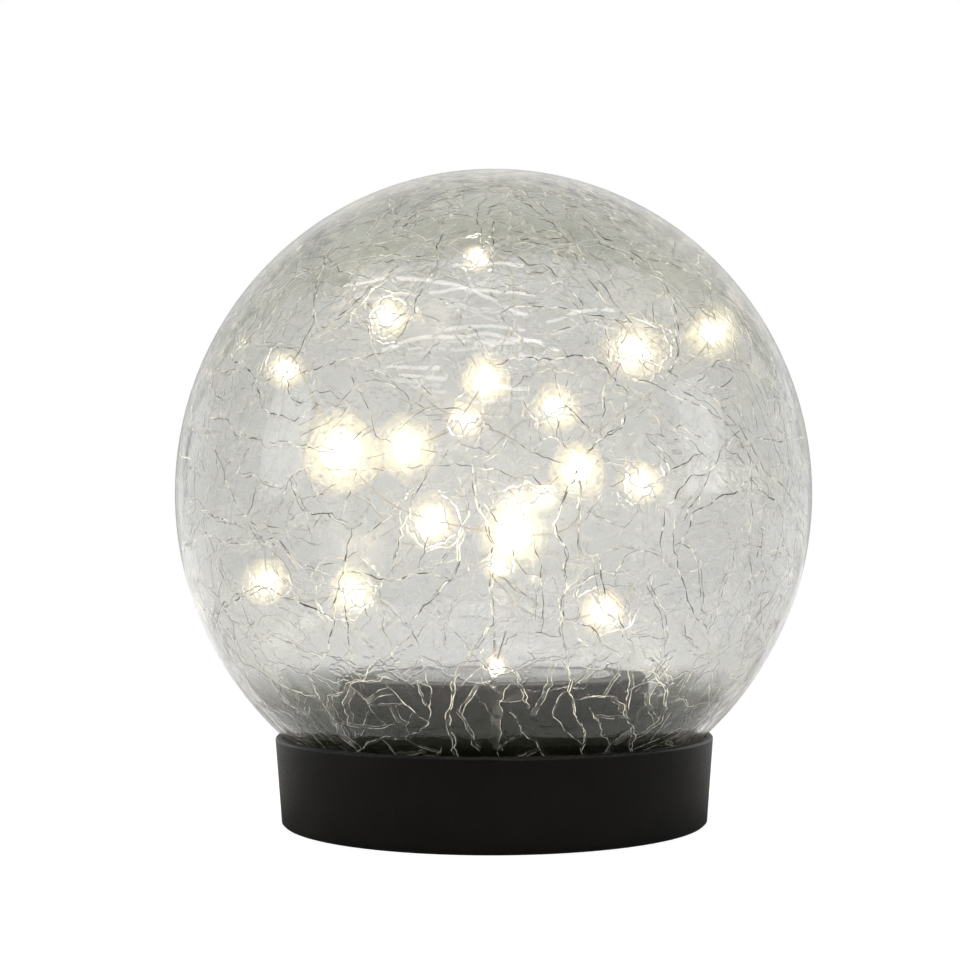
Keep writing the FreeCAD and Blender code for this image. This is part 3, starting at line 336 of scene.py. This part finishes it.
BLACK = ((0.0042, 0.0042, 0.0044), (0.0080, 0.0078, 0.0078))
BOARD_BLACK = ((0.012, 0.016, 0.014), (0.02, 0.028, 0.024))
BOARD_GREEN = ((0.01, 0.09, 0.03), (0.02, 0.13, 0.05))
WRAP_GREEN = ((0.02, 0.16, 0.06), (0.03, 0.20, 0.08))
LEAD_RED = ((0.30, 0.015, 0.015), (0.40, 0.02, 0.02))
NICKEL = ((0.60, 0.60, 0.58), (0.72, 0.72, 0.70))
COPPER = ((0.82, 0.74, 0.62), (0.92, 0.86, 0.76))

materials = {
    "clear_glass": glass_material(),
    "black_plastic": moulded("base_black_plastic", *BLACK, (0.36, 0.50)),
    "black_module_plastic": moulded(
        "module_black_plastic", *BLACK, (0.30, 0.44), grain=900.0, depth=0.00001
    ),
    "rubber_black": moulded("rubber_black", 0.012, 0.020, (0.70, 0.85)),
    "sealant": moulded("sealant_black", 0.010, 0.016, (0.35, 0.55), grain=900.0),
    "panel_board": moulded("panel_board", *BOARD_BLACK, (0.4, 0.5)),
    "solar_cell": cell_material(),
    "clear_resin": resin_material(),
    "circuit_board": moulded("circuit_board", *BOARD_GREEN, (0.3, 0.45)),
    "component": moulded("component", 0.012, 0.022, (0.3, 0.45)),
    "screw_steel": metal("screw_steel", 0.42, 0.60, (0.28, 0.42)),
    "contact_metal": metal("contact_metal", *NICKEL, (0.22, 0.35)),
    "battery_wrap": moulded("battery_wrap", *WRAP_GREEN, (0.18, 0.28)),
    "lead_insulation": moulded("lead_insulation", *LEAD_RED, (0.35, 0.5)),
    "switch_case": moulded("switch_case", 0.015, 0.025, (0.3, 0.45)),
    "switch_knob": moulded("switch_knob", 0.012, 0.020, (0.45, 0.6)),
    "copper_wire": metal("copper_wire", *COPPER, (0.4, 0.55)),
    "lamp_resin": lamp_material(),
}
for item in frame["record"]["subparts"]:
    mesh = nodes[item["node"]].data
    mesh.materials.clear()
    mesh.materials.append(materials[item["material_slot"]])

# ---------------------------------------------------------------- glass shell

# Sizes in mm: the ball's outer face, its inner face, and the neck.
GLOBE_RADIUS, GLOBE_HALF_HEIGHT, GLOBE_CENTRE = 75.0, 76.4, 77.48
BORE_RADIUS, BORE_HALF_HEIGHT, BORE_CENTRE = 72.4, 72.8, 76.48
NECK_RADIUS, NECK_BORE_RADIUS, NECK_FOOT = 42.6, 39.6, 6.0
WALL = 2.6
SHOULDER = 5.0
ARC_STEPS, SHELL_SIDES = 110, 224
HAZE_GAP, HAZE_STEPS, HAZE_SIDES = 0.25, 60, 128
HAZE_END = math.radians(146)


def mesh_object(name, verts, faces, material, smooth=True):
    mesh = bpy.data.meshes.new(name)
    mesh.from_pydata(verts, [], faces)
    mesh.materials.append(material)
    mesh.validate()
    mesh.polygons.foreach_set("use_smooth", [smooth] * len(mesh.polygons))
    piece = bpy.data.objects.new(name, mesh)
    scene.collection.objects.link(piece)
    return piece


def arc_of(radius, half_height, centre, first, last, count):
    """Points (radius, height) on an ellipse between two angles from the top."""
    points = []
    for index in range(count + 1):
        angle = first + (last - first) * index / count
        points.append((radius * math.sin(angle), centre + half_height * math.cos(angle)))
    return points


def lathe(name, profile, sides, material):
    """A surface turned about the axis. A point of the profile may lie on the axis."""
    verts = []
    faces = []
    rings = []
    for radius, height in profile:
        if radius < 1e-6:
            rings.append([len(verts)] * sides)
            verts.append((0, 0, height * mm))
            continue
        ring = []
        for side in range(sides):
            angle = 2 * math.pi * side / sides
            ring.append(len(verts))
            verts.append(
                (radius * math.cos(angle) * mm, radius * math.sin(angle) * mm, height * mm)
            )
        rings.append(ring)
    for upper, lower in zip(rings, rings[1:]):
        for side in range(sides):
            after = (side + 1) % sides
            face = [upper[side], lower[side], lower[after], upper[after]]
            face = list(dict.fromkeys(face))
            if len(face) > 2:
                faces.append(face)
    return mesh_object(name, verts, faces, material)


def shoulder_bend(outside, steps=8):
    """The rounded shoulder between the ball's last points and the neck's side."""
    start = Vector(outside[-1])
    slope = (start - Vector(outside[-2])).normalized()
    corner = start + slope * ((start.x - NECK_RADIUS) / -slope.x)
    end = Vector((NECK_RADIUS, corner.y - (corner - start).length))
    bend = []
    for index in range(1, steps + 1):
        share = index / steps
        point = start * (1 - share) ** 2 + corner * 2 * share * (1 - share) + end * share**2
        bend.append((point.x, point.y))
    return bend


def neck_foot(steps=8):
    """The half-round foot of the neck."""
    half = (NECK_RADIUS - NECK_BORE_RADIUS) / 2
    foot = []
    for index in range(steps + 1):
        angle = math.pi * index / steps
        across = NECK_RADIUS - half + half * math.cos(angle)
        foot.append((across, NECK_FOOT + half - half * math.sin(angle)))
    return foot


def glass_profile():
    """Down the outside, round the shoulder and the foot of the neck, and back up inside."""
    meet = math.pi - math.asin((NECK_RADIUS + SHOULDER * 0.45) / GLOBE_RADIUS)
    outside = arc_of(GLOBE_RADIUS, GLOBE_HALF_HEIGHT, GLOBE_CENTRE, 0, meet, ARC_STEPS)
    meet = math.pi - math.asin(NECK_BORE_RADIUS / BORE_RADIUS)
    inside = arc_of(BORE_RADIUS, BORE_HALF_HEIGHT, BORE_CENTRE, meet, 0, ARC_STEPS)
    return outside + shoulder_bend(outside) + neck_foot() + inside


glass_piece = lathe("glass_shell", glass_profile(), SHELL_SIDES, materials["clear_glass"])
glass_piece.visible_shadow = False
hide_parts("glass_globe")
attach(glass_piece, "lamp")

haze_profile = arc_of(
    BORE_RADIUS - HAZE_GAP, BORE_HALF_HEIGHT - HAZE_GAP, BORE_CENTRE, HAZE_END, 0, HAZE_STEPS
)
haze_piece = lathe("glass_crazing", haze_profile, HAZE_SIDES, crazing_material())
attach(haze_piece, "lamp")

# ---------------------------------------------------------------- cracks in the glass

random.seed(41)
# The network is grown on a ball of radius 1, so its steps are shares of the radius.
CRACK_STEP = 1.25 / GLOBE_RADIUS
CRACK_CELL = 2.0 / GLOBE_RADIUS
LOWEST = -0.80
JAG = 0.25
KINK_CHANCE = 0.05
# Rounds of cracks: how many are tried, their least and most length in mm, how much they
# waver, and the room in mm that a new one needs.
CRACK_ROUNDS = (
    (150, 30, 110, 0.07, 3.5),
    (700, 12, 60, 0.08, 2.6),
    (1500, 6, 26, 0.10, 2.2),
)
BRANCH_TRIES = 1800
BRANCH_LENGTH, BRANCH_WAVER = (4, 26), 0.08


def random_direction():
    height = random.uniform(LOWEST, 1)
    angle = random.uniform(0, 2 * math.pi)
    width = math.sqrt(1 - height * height)
    return Vector((width * math.cos(angle), width * math.sin(angle), height))


class CrackNetwork:
    """Cracks that run over the ball until they meet another, on a ball of radius 1."""

    def __init__(self):
        self.cells = {}
        self.cracks = []

    def key(self, point):
        return tuple(int(math.floor(value / CRACK_CELL)) for value in point)

    def near(self, point, reach, own=None):
        """The nearest point of another crack within reach, as (distance, place, crack)."""
        around = int(math.ceil(reach / CRACK_CELL))
        middle = self.key(point)
        best = None
        for x in range(middle[0] - around, middle[0] + around + 1):
            for y in range(middle[1] - around, middle[1] + around + 1):
                for z in range(middle[2] - around, middle[2] + around + 1):
                    for place, crack in self.cells.get((x, y, z), ()):
                        if crack == own:
                            continue
                        distance = (place - point).length
                        if distance < reach and (best is None or distance < best[0]):
                            best = (distance, place, crack)
        return best

    def add(self, points):
        number = len(self.cracks)
        self.cracks.append(points)
        for point in points:
            self.cells.setdefault(self.key(point), []).append((point, number))

    def grow(self, start, heading, length, waver):
        """One jagged arm of a crack, ended early where it meets another."""
        points = [start.copy()]
        here = start.copy()
        heading = (heading - here * heading.dot(here)).normalized()
        travelled = 0.0
        while travelled < length:
            turn = random.gauss(0, waver)
            if random.random() < KINK_CHANCE:
                turn += random.choice((-1, 1)) * random.uniform(0.3, 0.8)
            side = here.cross(heading)
            heading = (heading * math.cos(turn) + side * math.sin(turn)).normalized()
            jag = random.gauss(0, JAG)
            stride = heading * math.cos(jag) + here.cross(heading) * math.sin(jag)
            here = (here + stride * CRACK_STEP).normalized()
            heading = (heading - here * heading.dot(here)).normalized()
            if here.z < LOWEST:
                break
            travelled += CRACK_STEP
            met = self.near(here, CRACK_STEP * 0.95)
            if met and len(points) > 1:
                points.append(met[1].copy())
                break
            points.append(here.copy())
        return points


network = CrackNetwork()
for tries, shortest, longest, waver, room in CRACK_ROUNDS:
    for _ in range(tries):
        start = random_direction()
        if network.near(start, room / GLOBE_RADIUS):
            continue
        length = random.uniform(shortest, longest) / GLOBE_RADIUS
        heading = random_direction()
        one = network.grow(start, heading, length / 2, waver)
        other = network.grow(start, -heading, length / 2, waver)
        points = list(reversed(one)) + other[1:]
        if len(points) > 3:
            network.add(points)
for _ in range(BRANCH_TRIES):
    trunk = random.choice(network.cracks)
    if len(trunk) < 5:
        continue
    index = random.randrange(1, len(trunk) - 1)
    along = (trunk[index + 1] - trunk[index - 1]).normalized()
    start = trunk[index].copy()
    side = start.cross(along) * random.choice((-1, 1))
    heading = (side + along * random.uniform(-0.7, 0.7)).normalized()
    first = (start + heading * CRACK_STEP * 1.5).normalized()
    if network.near(first, CRACK_STEP * 1.2, own=network.cracks.index(trunk)):
        continue
    length = random.uniform(*BRANCH_LENGTH) / GLOBE_RADIUS
    arm = network.grow(first, heading, length, BRANCH_WAVER)
    if len(arm) > 3:
        network.add([start] + arm)


def in_wall(direction, depth):
    """A place in the glass: depth 0 on its inner face and 1 on its outer one."""
    x, y, z = direction
    inner = Vector((x * BORE_RADIUS, y * BORE_RADIUS, BORE_CENTRE + z * BORE_HALF_HEIGHT))
    outer = Vector((x * GLOBE_RADIUS, y * GLOBE_RADIUS, GLOBE_CENTRE + z * GLOBE_HALF_HEIGHT))
    return inner.lerp(outer, depth) * mm


def between(value, low, high):
    return min(max(value, low), high)


def crack_rows(points):
    """For each point of a crack: its inner and outer edge with their depths, and its taper."""
    lean = random.gauss(0, 0.25)
    low = random.uniform(0.10, 0.25)
    high = random.uniform(0.78, 0.92)
    size = min(1.0, 0.45 + len(points) / 60)
    lip_widths = [random.uniform(0.10, 0.23) * size, random.uniform(0.15, 0.32) * size]
    if random.random() < 0.45:
        lip_widths[random.randrange(2)] = 0.0
    rows = []
    for index, point in enumerate(points):
        before = points[max(index - 1, 0)]
        after = points[min(index + 1, len(points) - 1)]
        side = point.cross((after - before).normalized())
        shift = side * (lean + random.gauss(0, 0.05)) * WALL / GLOBE_RADIUS
        bottom = between(low + random.gauss(0, 0.04), 0.08, 0.90)
        top = between(high + random.gauss(0, 0.04), 0.10, 0.93)
        under = (point - shift * 0.5).normalized()
        over = (point + shift * 0.5).normalized()
        steps_to_end = min(index, len(points) - 1 - index)
        taper = min(1.0, 0.35 + steps_to_end * 0.25)
        rows.append(((under, bottom), (over, top), side, taper))
    return rows, lip_widths


def add_crack_face(verts, faces, rows):
    """The crack itself, a strip that stands in the wall."""
    for index, (under, over, _, _) in enumerate(rows):
        verts.append(in_wall(*under))
        verts.append(in_wall(*over))
        if index:
            last = len(verts) - 1
            faces.append((last - 3, last - 2, last, last - 1))


def add_crack_lip(verts, faces, edges, rows, lip_width):
    """One lip: two thin strips along an edge, one across the wall and one through it."""
    for index, ((place, depth), (_, _, side, taper)) in enumerate(zip(edges, rows)):
        wide = lip_width * taper * random.uniform(0.6, 1.3)
        half = side * wide / 2 / GLOBE_RADIUS
        deep = wide / 2 / WALL
        verts.append(in_wall((place - half).normalized(), depth))
        verts.append(in_wall((place + half).normalized(), depth))
        verts.append(in_wall(place, depth - deep))
        verts.append(in_wall(place, depth + deep))
        if index:
            last = len(verts) - 1
            faces.append((last - 7, last - 6, last - 2, last - 3))
            faces.append((last - 5, last - 4, last, last - 1))


crack_faces = ([], [])
crack_lips = ([], [])
for points in network.cracks:
    rows, lip_widths = crack_rows(points)
    add_crack_face(*crack_faces, rows)
    for which, lip_width in enumerate(lip_widths):
        if lip_width:
            edges = [row[which] for row in rows]
            add_crack_lip(*crack_lips, edges, rows, lip_width)
for name, parts, material in (
    ("glass_cracks", crack_faces, crack_material()),
    ("glass_crack_lips", crack_lips, crack_lip_material()),
):
    piece = mesh_object(name, *parts, material, smooth=False)
    piece.visible_shadow = False
    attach(piece, "lamp")

# ---------------------------------------------------------------- lamp string

# The route of the wire in mm, with each lamp in the middle of a run of LAMP_RUNS.
STRING_ROUTE = [
    (0, 31.7, 34.8),
    (0, 31.7, 39.3),
    (0, 28.5, 43),
    (0, 22, 43.8),
    (0.5, 14, 39.5),
    (1, 3, 36.7), (0, -17, 36.6),
    (2, -28, 43),
    (5, -27, 54),
    (4, -17, 59), (-2, 1, 61),
    (-1, 20, 58),
    (7, 34, 48),
    (20, 42, 45), (40, 50, 52),
    (43, 47, 73), (39, 45, 95),
    (28, 54, 108), (8, 58, 104),
    (-10, 62, 84), (-25, 62, 64),
    (-32, 53, 57), (-45, 35, 51),
    (-54, 9, 52), (-54, -13, 61),
    (-49, -12, 100), (-45, -32, 109),
    (-36, -52, 92), (-24, -64, 72),
    (-7, -66, 66), (15, -66, 64),
    (18.5, -53, 74), (16.5, -35, 85),
    (47, -34, 106), (52, -14, 119),
    (43, 10, 121), (31, 30, 113),
    (22, 37, 90), (5, 39, 69),
    (-1, 64, 70), (15, 68, 87),
    (4, 62, 100), (-20, 60, 107),
    (-26, 41, 125), (-30, 19, 132),
    (-12, 0, 135), (5, -16, 134),
    (4, -38, 108), (-7, -50, 89),
    (-9.5, -65, 84), (-24.5, -63, 80),
]
LAMP_RUNS = [5, 9, *range(13, 50, 2)]
STRAND = 0.16 * mm
LINE_STEP = 0.8 * mm
TWIST = 7 * mm
LAMP_HALF, LAMP_RADIUS, LAMP_TIP = 2.3, 1.5, 0.35
LAMP_RINGS, LAMP_SIDES = 14, 20

# Each lamp's glow as a share of the largest shell, and the shells from the inner one out.
GLOW_SIZES = [
    *(0.4, 0.5, 0.9, 0.85, 1.0, 1.0, 1.0, 0.8, 0.65, 1.15, 0.9),
    *(0.85, 0.85, 1.15, 0.65, 0.9, 0.85, 0.8, 0.5, 0.75, 0.85),
]
GLOW_RADIUS, GLOW_SHELLS, GLOW_START, GLOW_SPREAD = 9.0, 8, 0.30, 0.105
SHELLS_PER_MATERIAL = 3
GLOWS = (
    (0.50, (1.0, 0.93, 0.74)),
    (0.13, (1.0, 0.88, 0.60)),
    (0.065, (1.0, 0.80, 0.44)),
)


def route_curve():
    curve = bpy.data.curves.new("string_route", "CURVE")
    curve.dimensions = "3D"
    curve.resolution_u = 12
    spline = curve.splines.new("NURBS")
    spline.points.add(len(STRING_ROUTE) - 1)
    for point, (x, y, z) in zip(spline.points, STRING_ROUTE):
        point.co = (x * mm, y * mm, z * mm, 1)
    spline.order_u = 3
    spline.use_endpoint_u = True
    return curve


def curve_points(curve):
    """Points along the curve's smooth line."""
    carrier = bpy.data.objects.new("string_line", curve)
    scene.collection.objects.link(carrier)
    bpy.context.view_layer.update()
    line = bpy.data.meshes.new_from_object(carrier)
    points = [vertex.co.copy() for vertex in line.vertices]
    bpy.data.objects.remove(carrier)
    bpy.data.meshes.remove(line)
    return points


def evened(points, step):
    """The same line with its points a step apart."""
    spaced = [points[0]]
    left = step
    for start, end in zip(points, points[1:]):
        span = end - start
        reach = span.length
        while reach >= left:
            start = start + span.normalized() * left
            spaced.append(start)
            reach -= left
            left = step
            span = end - start
        left -= reach
    spaced.append(points[-1])
    return spaced


def frames_along(points):
    """A heading and two side directions at each point, turned as little as can be."""
    frames = []
    side = Vector((1, 0, 0))
    for index in range(len(points)):
        before = points[max(index - 1, 0)]
        after = points[min(index + 1, len(points) - 1)]
        along = (after - before).normalized()
        side = (side - along * side.dot(along)).normalized()
        frames.append((along, side, along.cross(side)))
    return frames


def add_tube(verts, faces, points, frames, radii, sides):
    """A closed tube round a line, with its own radius at each point."""
    first = len(verts)
    for point, (_, side, up), radius in zip(points, frames, radii):
        for number in range(sides):
            angle = 2 * math.pi * number / sides
            verts.append(point + (side * math.cos(angle) + up * math.sin(angle)) * radius)
    for ring in range(len(points) - 1):
        for number in range(sides):
            after = (number + 1) % sides
            low = first + ring * sides
            high = low + sides
            faces.append((low + number, low + after, high + after, high + number))
    faces.append(tuple(first + number for number in reversed(range(sides))))
    faces.append(tuple(len(verts) - sides + number for number in range(sides)))


def wire_mesh():
    """Two thin strands, twisted round the line."""
    verts, faces = [], []
    for turn in (0, math.pi):
        strand = []
        for index, (point, (_, side, up)) in enumerate(zip(line, frames)):
            angle = turn + index * LINE_STEP / TWIST
            across = side * math.cos(angle) + up * math.sin(angle)
            strand.append(point + across * STRAND * 0.5)
        add_tube(verts, faces, strand, frames, [STRAND / 2] * len(line), 8)
    return verts, faces


def lamp_mesh():
    """A longish bead of resin for each lamp, round its stretch of wire."""
    verts, faces = [], []
    for centre, lamp_frame in lamp_places:
        points, radii = [], []
        for ring in range(LAMP_RINGS + 1):
            angle = math.pi * ring / LAMP_RINGS
            points.append(centre - lamp_frame[0] * math.cos(angle) * LAMP_HALF * mm)
            bulge = (LAMP_RADIUS - LAMP_TIP) * math.sin(angle) ** 0.8
            radii.append((LAMP_TIP + bulge) * mm)
        add_tube(verts, faces, points, [lamp_frame] * len(points), radii, LAMP_SIDES)
    return verts, faces


line = evened(curve_points(route_curve()), LINE_STEP)
frames = frames_along(line)
route = [Vector(point) * mm for point in STRING_ROUTE]
lamp_places = []
for index in LAMP_RUNS:
    middle = (route[index] + route[index + 1]) / 2
    nearest = min(range(len(line)), key=lambda number: (line[number] - middle).length)
    lamp_places.append((line[nearest], frames[nearest]))

wire_piece = mesh_object("lamp_wire", *wire_mesh(), materials["copper_wire"])
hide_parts("led_wire")
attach(wire_piece, "lamp")


def inside_glass(place, room):
    """The place itself, or one nearer to the ball's middle with room mm to the glass."""
    middle = Vector((0, 0, BORE_CENTRE * mm))
    x, y, z = (place - middle) / mm
    share = math.sqrt((x**2 + y**2) / BORE_RADIUS**2 + (z / BORE_HALF_HEIGHT) ** 2)
    most = 1 - room / BORE_RADIUS
    return place if share <= most else middle + (place - middle) * (most / share)


def add_glow_shell(shells, centre, radius, number):
    """One uneven shell of a glow, kept inside the glass."""
    ball = bmesh.ops.create_icosphere(shells, subdivisions=3, radius=radius * mm)
    for face in {face for vertex in ball["verts"] for face in vertex.link_faces}:
        face.material_index = number // SHELLS_PER_MATERIAL
    stretch = [random.uniform(0.84, 1.0) for _ in range(3)]
    phase = random.uniform(0, 6)
    for vertex in ball["verts"]:
        x, y, z = vertex.co.normalized()
        lump = 0.88 + 0.12 * math.sin(4 * x + phase) * math.cos(5 * y - 3 * z + phase)
        offset = [value * scale * lump for value, scale in zip(vertex.co, stretch)]
        vertex.co = inside_glass(centre + Vector(offset), 1.8 - 0.12 * number)


def glow_mesh():
    """Nested shells of light round each lamp."""
    shells = bmesh.new()
    for (centre, _), size in zip(lamp_places, GLOW_SIZES):
        for number in range(GLOW_SHELLS):
            radius = GLOW_RADIUS * size * (GLOW_START + GLOW_SPREAD * number)
            add_glow_shell(shells, centre, radius, number)
    mesh = bpy.data.meshes.new("lamp_glow_shells")
    shells.to_mesh(mesh)
    shells.free()
    mesh.polygons.foreach_set("use_smooth", [True] * len(mesh.polygons))
    for number, (most, colour) in enumerate(GLOWS):
        mesh.materials.append(glow_material(number, most, colour))
    piece = bpy.data.objects.new("lamp_glow_shells", mesh)
    scene.collection.objects.link(piece)
    return piece


glow_piece = glow_mesh()
glow_piece.visible_shadow = False
glow_piece.visible_diffuse = False
glow_piece.visible_glossy = False
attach(glow_piece, "lamp")
bead_piece = mesh_object("string_lamps", *lamp_mesh(), materials["lamp_resin"])
bead_piece.visible_shadow = False
bead_piece.visible_glossy = False
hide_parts("led_beads")
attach(bead_piece, "lamp")

for number, (centre, _) in enumerate(lamp_places):
    glow = bpy.data.lights.new(f"lamp_glow_{number}", "POINT")
    glow.energy = 0.012
    glow.color = (1.0, 0.86, 0.58)
    glow.shadow_soft_size = 0.0012
    light = bpy.data.objects.new(f"lamp_glow_{number}", glow)
    light.location = centre
    light.visible_glossy = False
    scene.collection.objects.link(light)

# ---------------------------------------------------------------- studio

world = bpy.data.worlds.new("studio")
scene.world = world
world.use_nodes = True
tree = world.node_tree
tree.nodes.clear()
direction = coordinates(tree, "Generated")

# What is seen through the glass: white, greenish higher up, a little darker at the sides.
through = ramp(
    tree,
    axis(tree, "Z", direction),
    (0.0, (0.93, 0.935, 0.935)),
    (0.318, (0.93, 0.935, 0.935)),
    (0.340, (0.385, 0.43, 0.34)),
    (0.43, (0.45, 0.49, 0.405)),
    (0.62, (0.57, 0.60, 0.53)),
)
aside = arithmetic(tree, "ABSOLUTE", axis(tree, "X", direction))
flags = ramp(tree, aside, (0.06, 1.0), (0.28, (0.83, 0.835, 0.825)))
dimmed = arithmetic(tree, "MULTIPLY", through, flags, kind="VectorMath")
behind_glass = add_node(tree, "Background", Color=dimmed)

# What lights the light and is mirrored in it: a dark room in front, white walls behind.
around = ramp(
    tree,
    axis(tree, "Y", direction),
    (0.0, (0.07, 0.071, 0.073)),
    (0.25, (0.24, 0.24, 0.245)),
    (0.65, 1.0),
    (0.86, 0.98),
    (0.95, (0.46, 0.465, 0.45)),
)
room = add_node(tree, "Background", Color=around)
backdrop = add_node(tree, "Background", Color=(1, 1, 1))
paths = tree.nodes.new("ShaderNodeLightPath").outputs
not_seen = mixed(tree, paths["Is Transmission Ray"], room.outputs[0], behind_glass.outputs[0])
surface = mixed(tree, paths["Is Camera Ray"], not_seen, backdrop.outputs[0])
world_output = tree.nodes.new("ShaderNodeOutputWorld")
tree.links.new(surface, world_output.inputs["Surface"])


def floor_material():
    """White paper to the eye, and a grey floor with a lit far half to everything else."""
    material, tree = new_material("floor_white")
    plain = add_node(tree, "Emission", Color=(1, 1, 1), Strength=0.97)
    paper = add_node(tree, "BsdfDiffuse", Color=(0.2, 0.2, 0.2))
    white = combined(tree, "AddShader", plain.outputs[0], paper.outputs[0])
    far = ramp(tree, axis(tree, "Y", coordinates(tree)), (0.0, 0.0), (0.25, 0.85))
    lit = add_node(tree, "Emission", Color=far)
    matte = add_node(tree, "BsdfDiffuse", Color=(0.26, 0.26, 0.26))
    sheet = combined(tree, "AddShader", matte.outputs[0], lit.outputs[0])
    paths = tree.nodes.new("ShaderNodeLightPath").outputs
    seen = arithmetic(tree, "MAXIMUM", paths["Is Camera Ray"], paths["Is Transmission Ray"])
    top = mixed(tree, seen, sheet, white)
    face = tree.nodes.new("ShaderNodeNewGeometry").outputs["Backfacing"]
    return finished(material, mixed(tree, face, top, transparent(tree)))


floor_verts = [(-4, -4, 0), (4, -4, 0), (4, 4, 0), (-4, 4, 0)]
floor = mesh_object("floor", floor_verts, [(0, 1, 2, 3)], floor_material(), smooth=False)
floor.location.z = -0.0002


def softbox(name, place, aim, width, height, energy, colour):
    data = bpy.data.lights.new(name, "AREA")
    data.shape = "RECTANGLE"
    data.size = width
    data.size_y = height
    data.energy = energy
    data.color = colour
    light = bpy.data.objects.new(name, data)
    light.location = place
    light.rotation_euler = (Vector(aim) - Vector(place)).to_track_quat("-Z", "Y").to_euler()
    light.visible_camera = False
    scene.collection.objects.link(light)


middle = (0, 0, 0.07)
COOL, PINK = (0.93, 0.96, 1.0), (1.0, 0.93, 0.90)
softbox("softbox_left", (-0.9, -0.25, 0.30), middle, 0.3, 0.5, 0.65, COOL)
softbox("softbox_right", (0.9, -0.25, 0.30), middle, 0.3, 0.5, 0.65, COOL)

# Strip lights in front, each 1 m from the ball: degrees above the floor, how far aside
# its middle lies, and its length. Their mirror images are the thin streaks near the top.
STRIP_WIDTH, STRIP_POWER_PER_METRE = 0.024, 0.40
STRIPS = (
    *((75, -0.03, 0.32), (70, -0.24, 1.10), (65, -0.05, 0.50), (61, 0.45, 0.45)),
    *((50, -0.06, 0.45), (47, -0.11, 1.00), (44, 0.08, 0.32), (40, -0.45, 0.32)),
    *((36, -0.40, 0.28), (30, 0.05, 0.30)),
)
for number, (rise, offset, length) in enumerate(STRIPS):
    angle = math.radians(rise)
    place = (offset, -math.cos(angle), middle[2] + math.sin(angle))
    power = STRIP_POWER_PER_METRE * length
    softbox(f"strip_{number}", place, middle, length, STRIP_WIDTH, power, PINK)
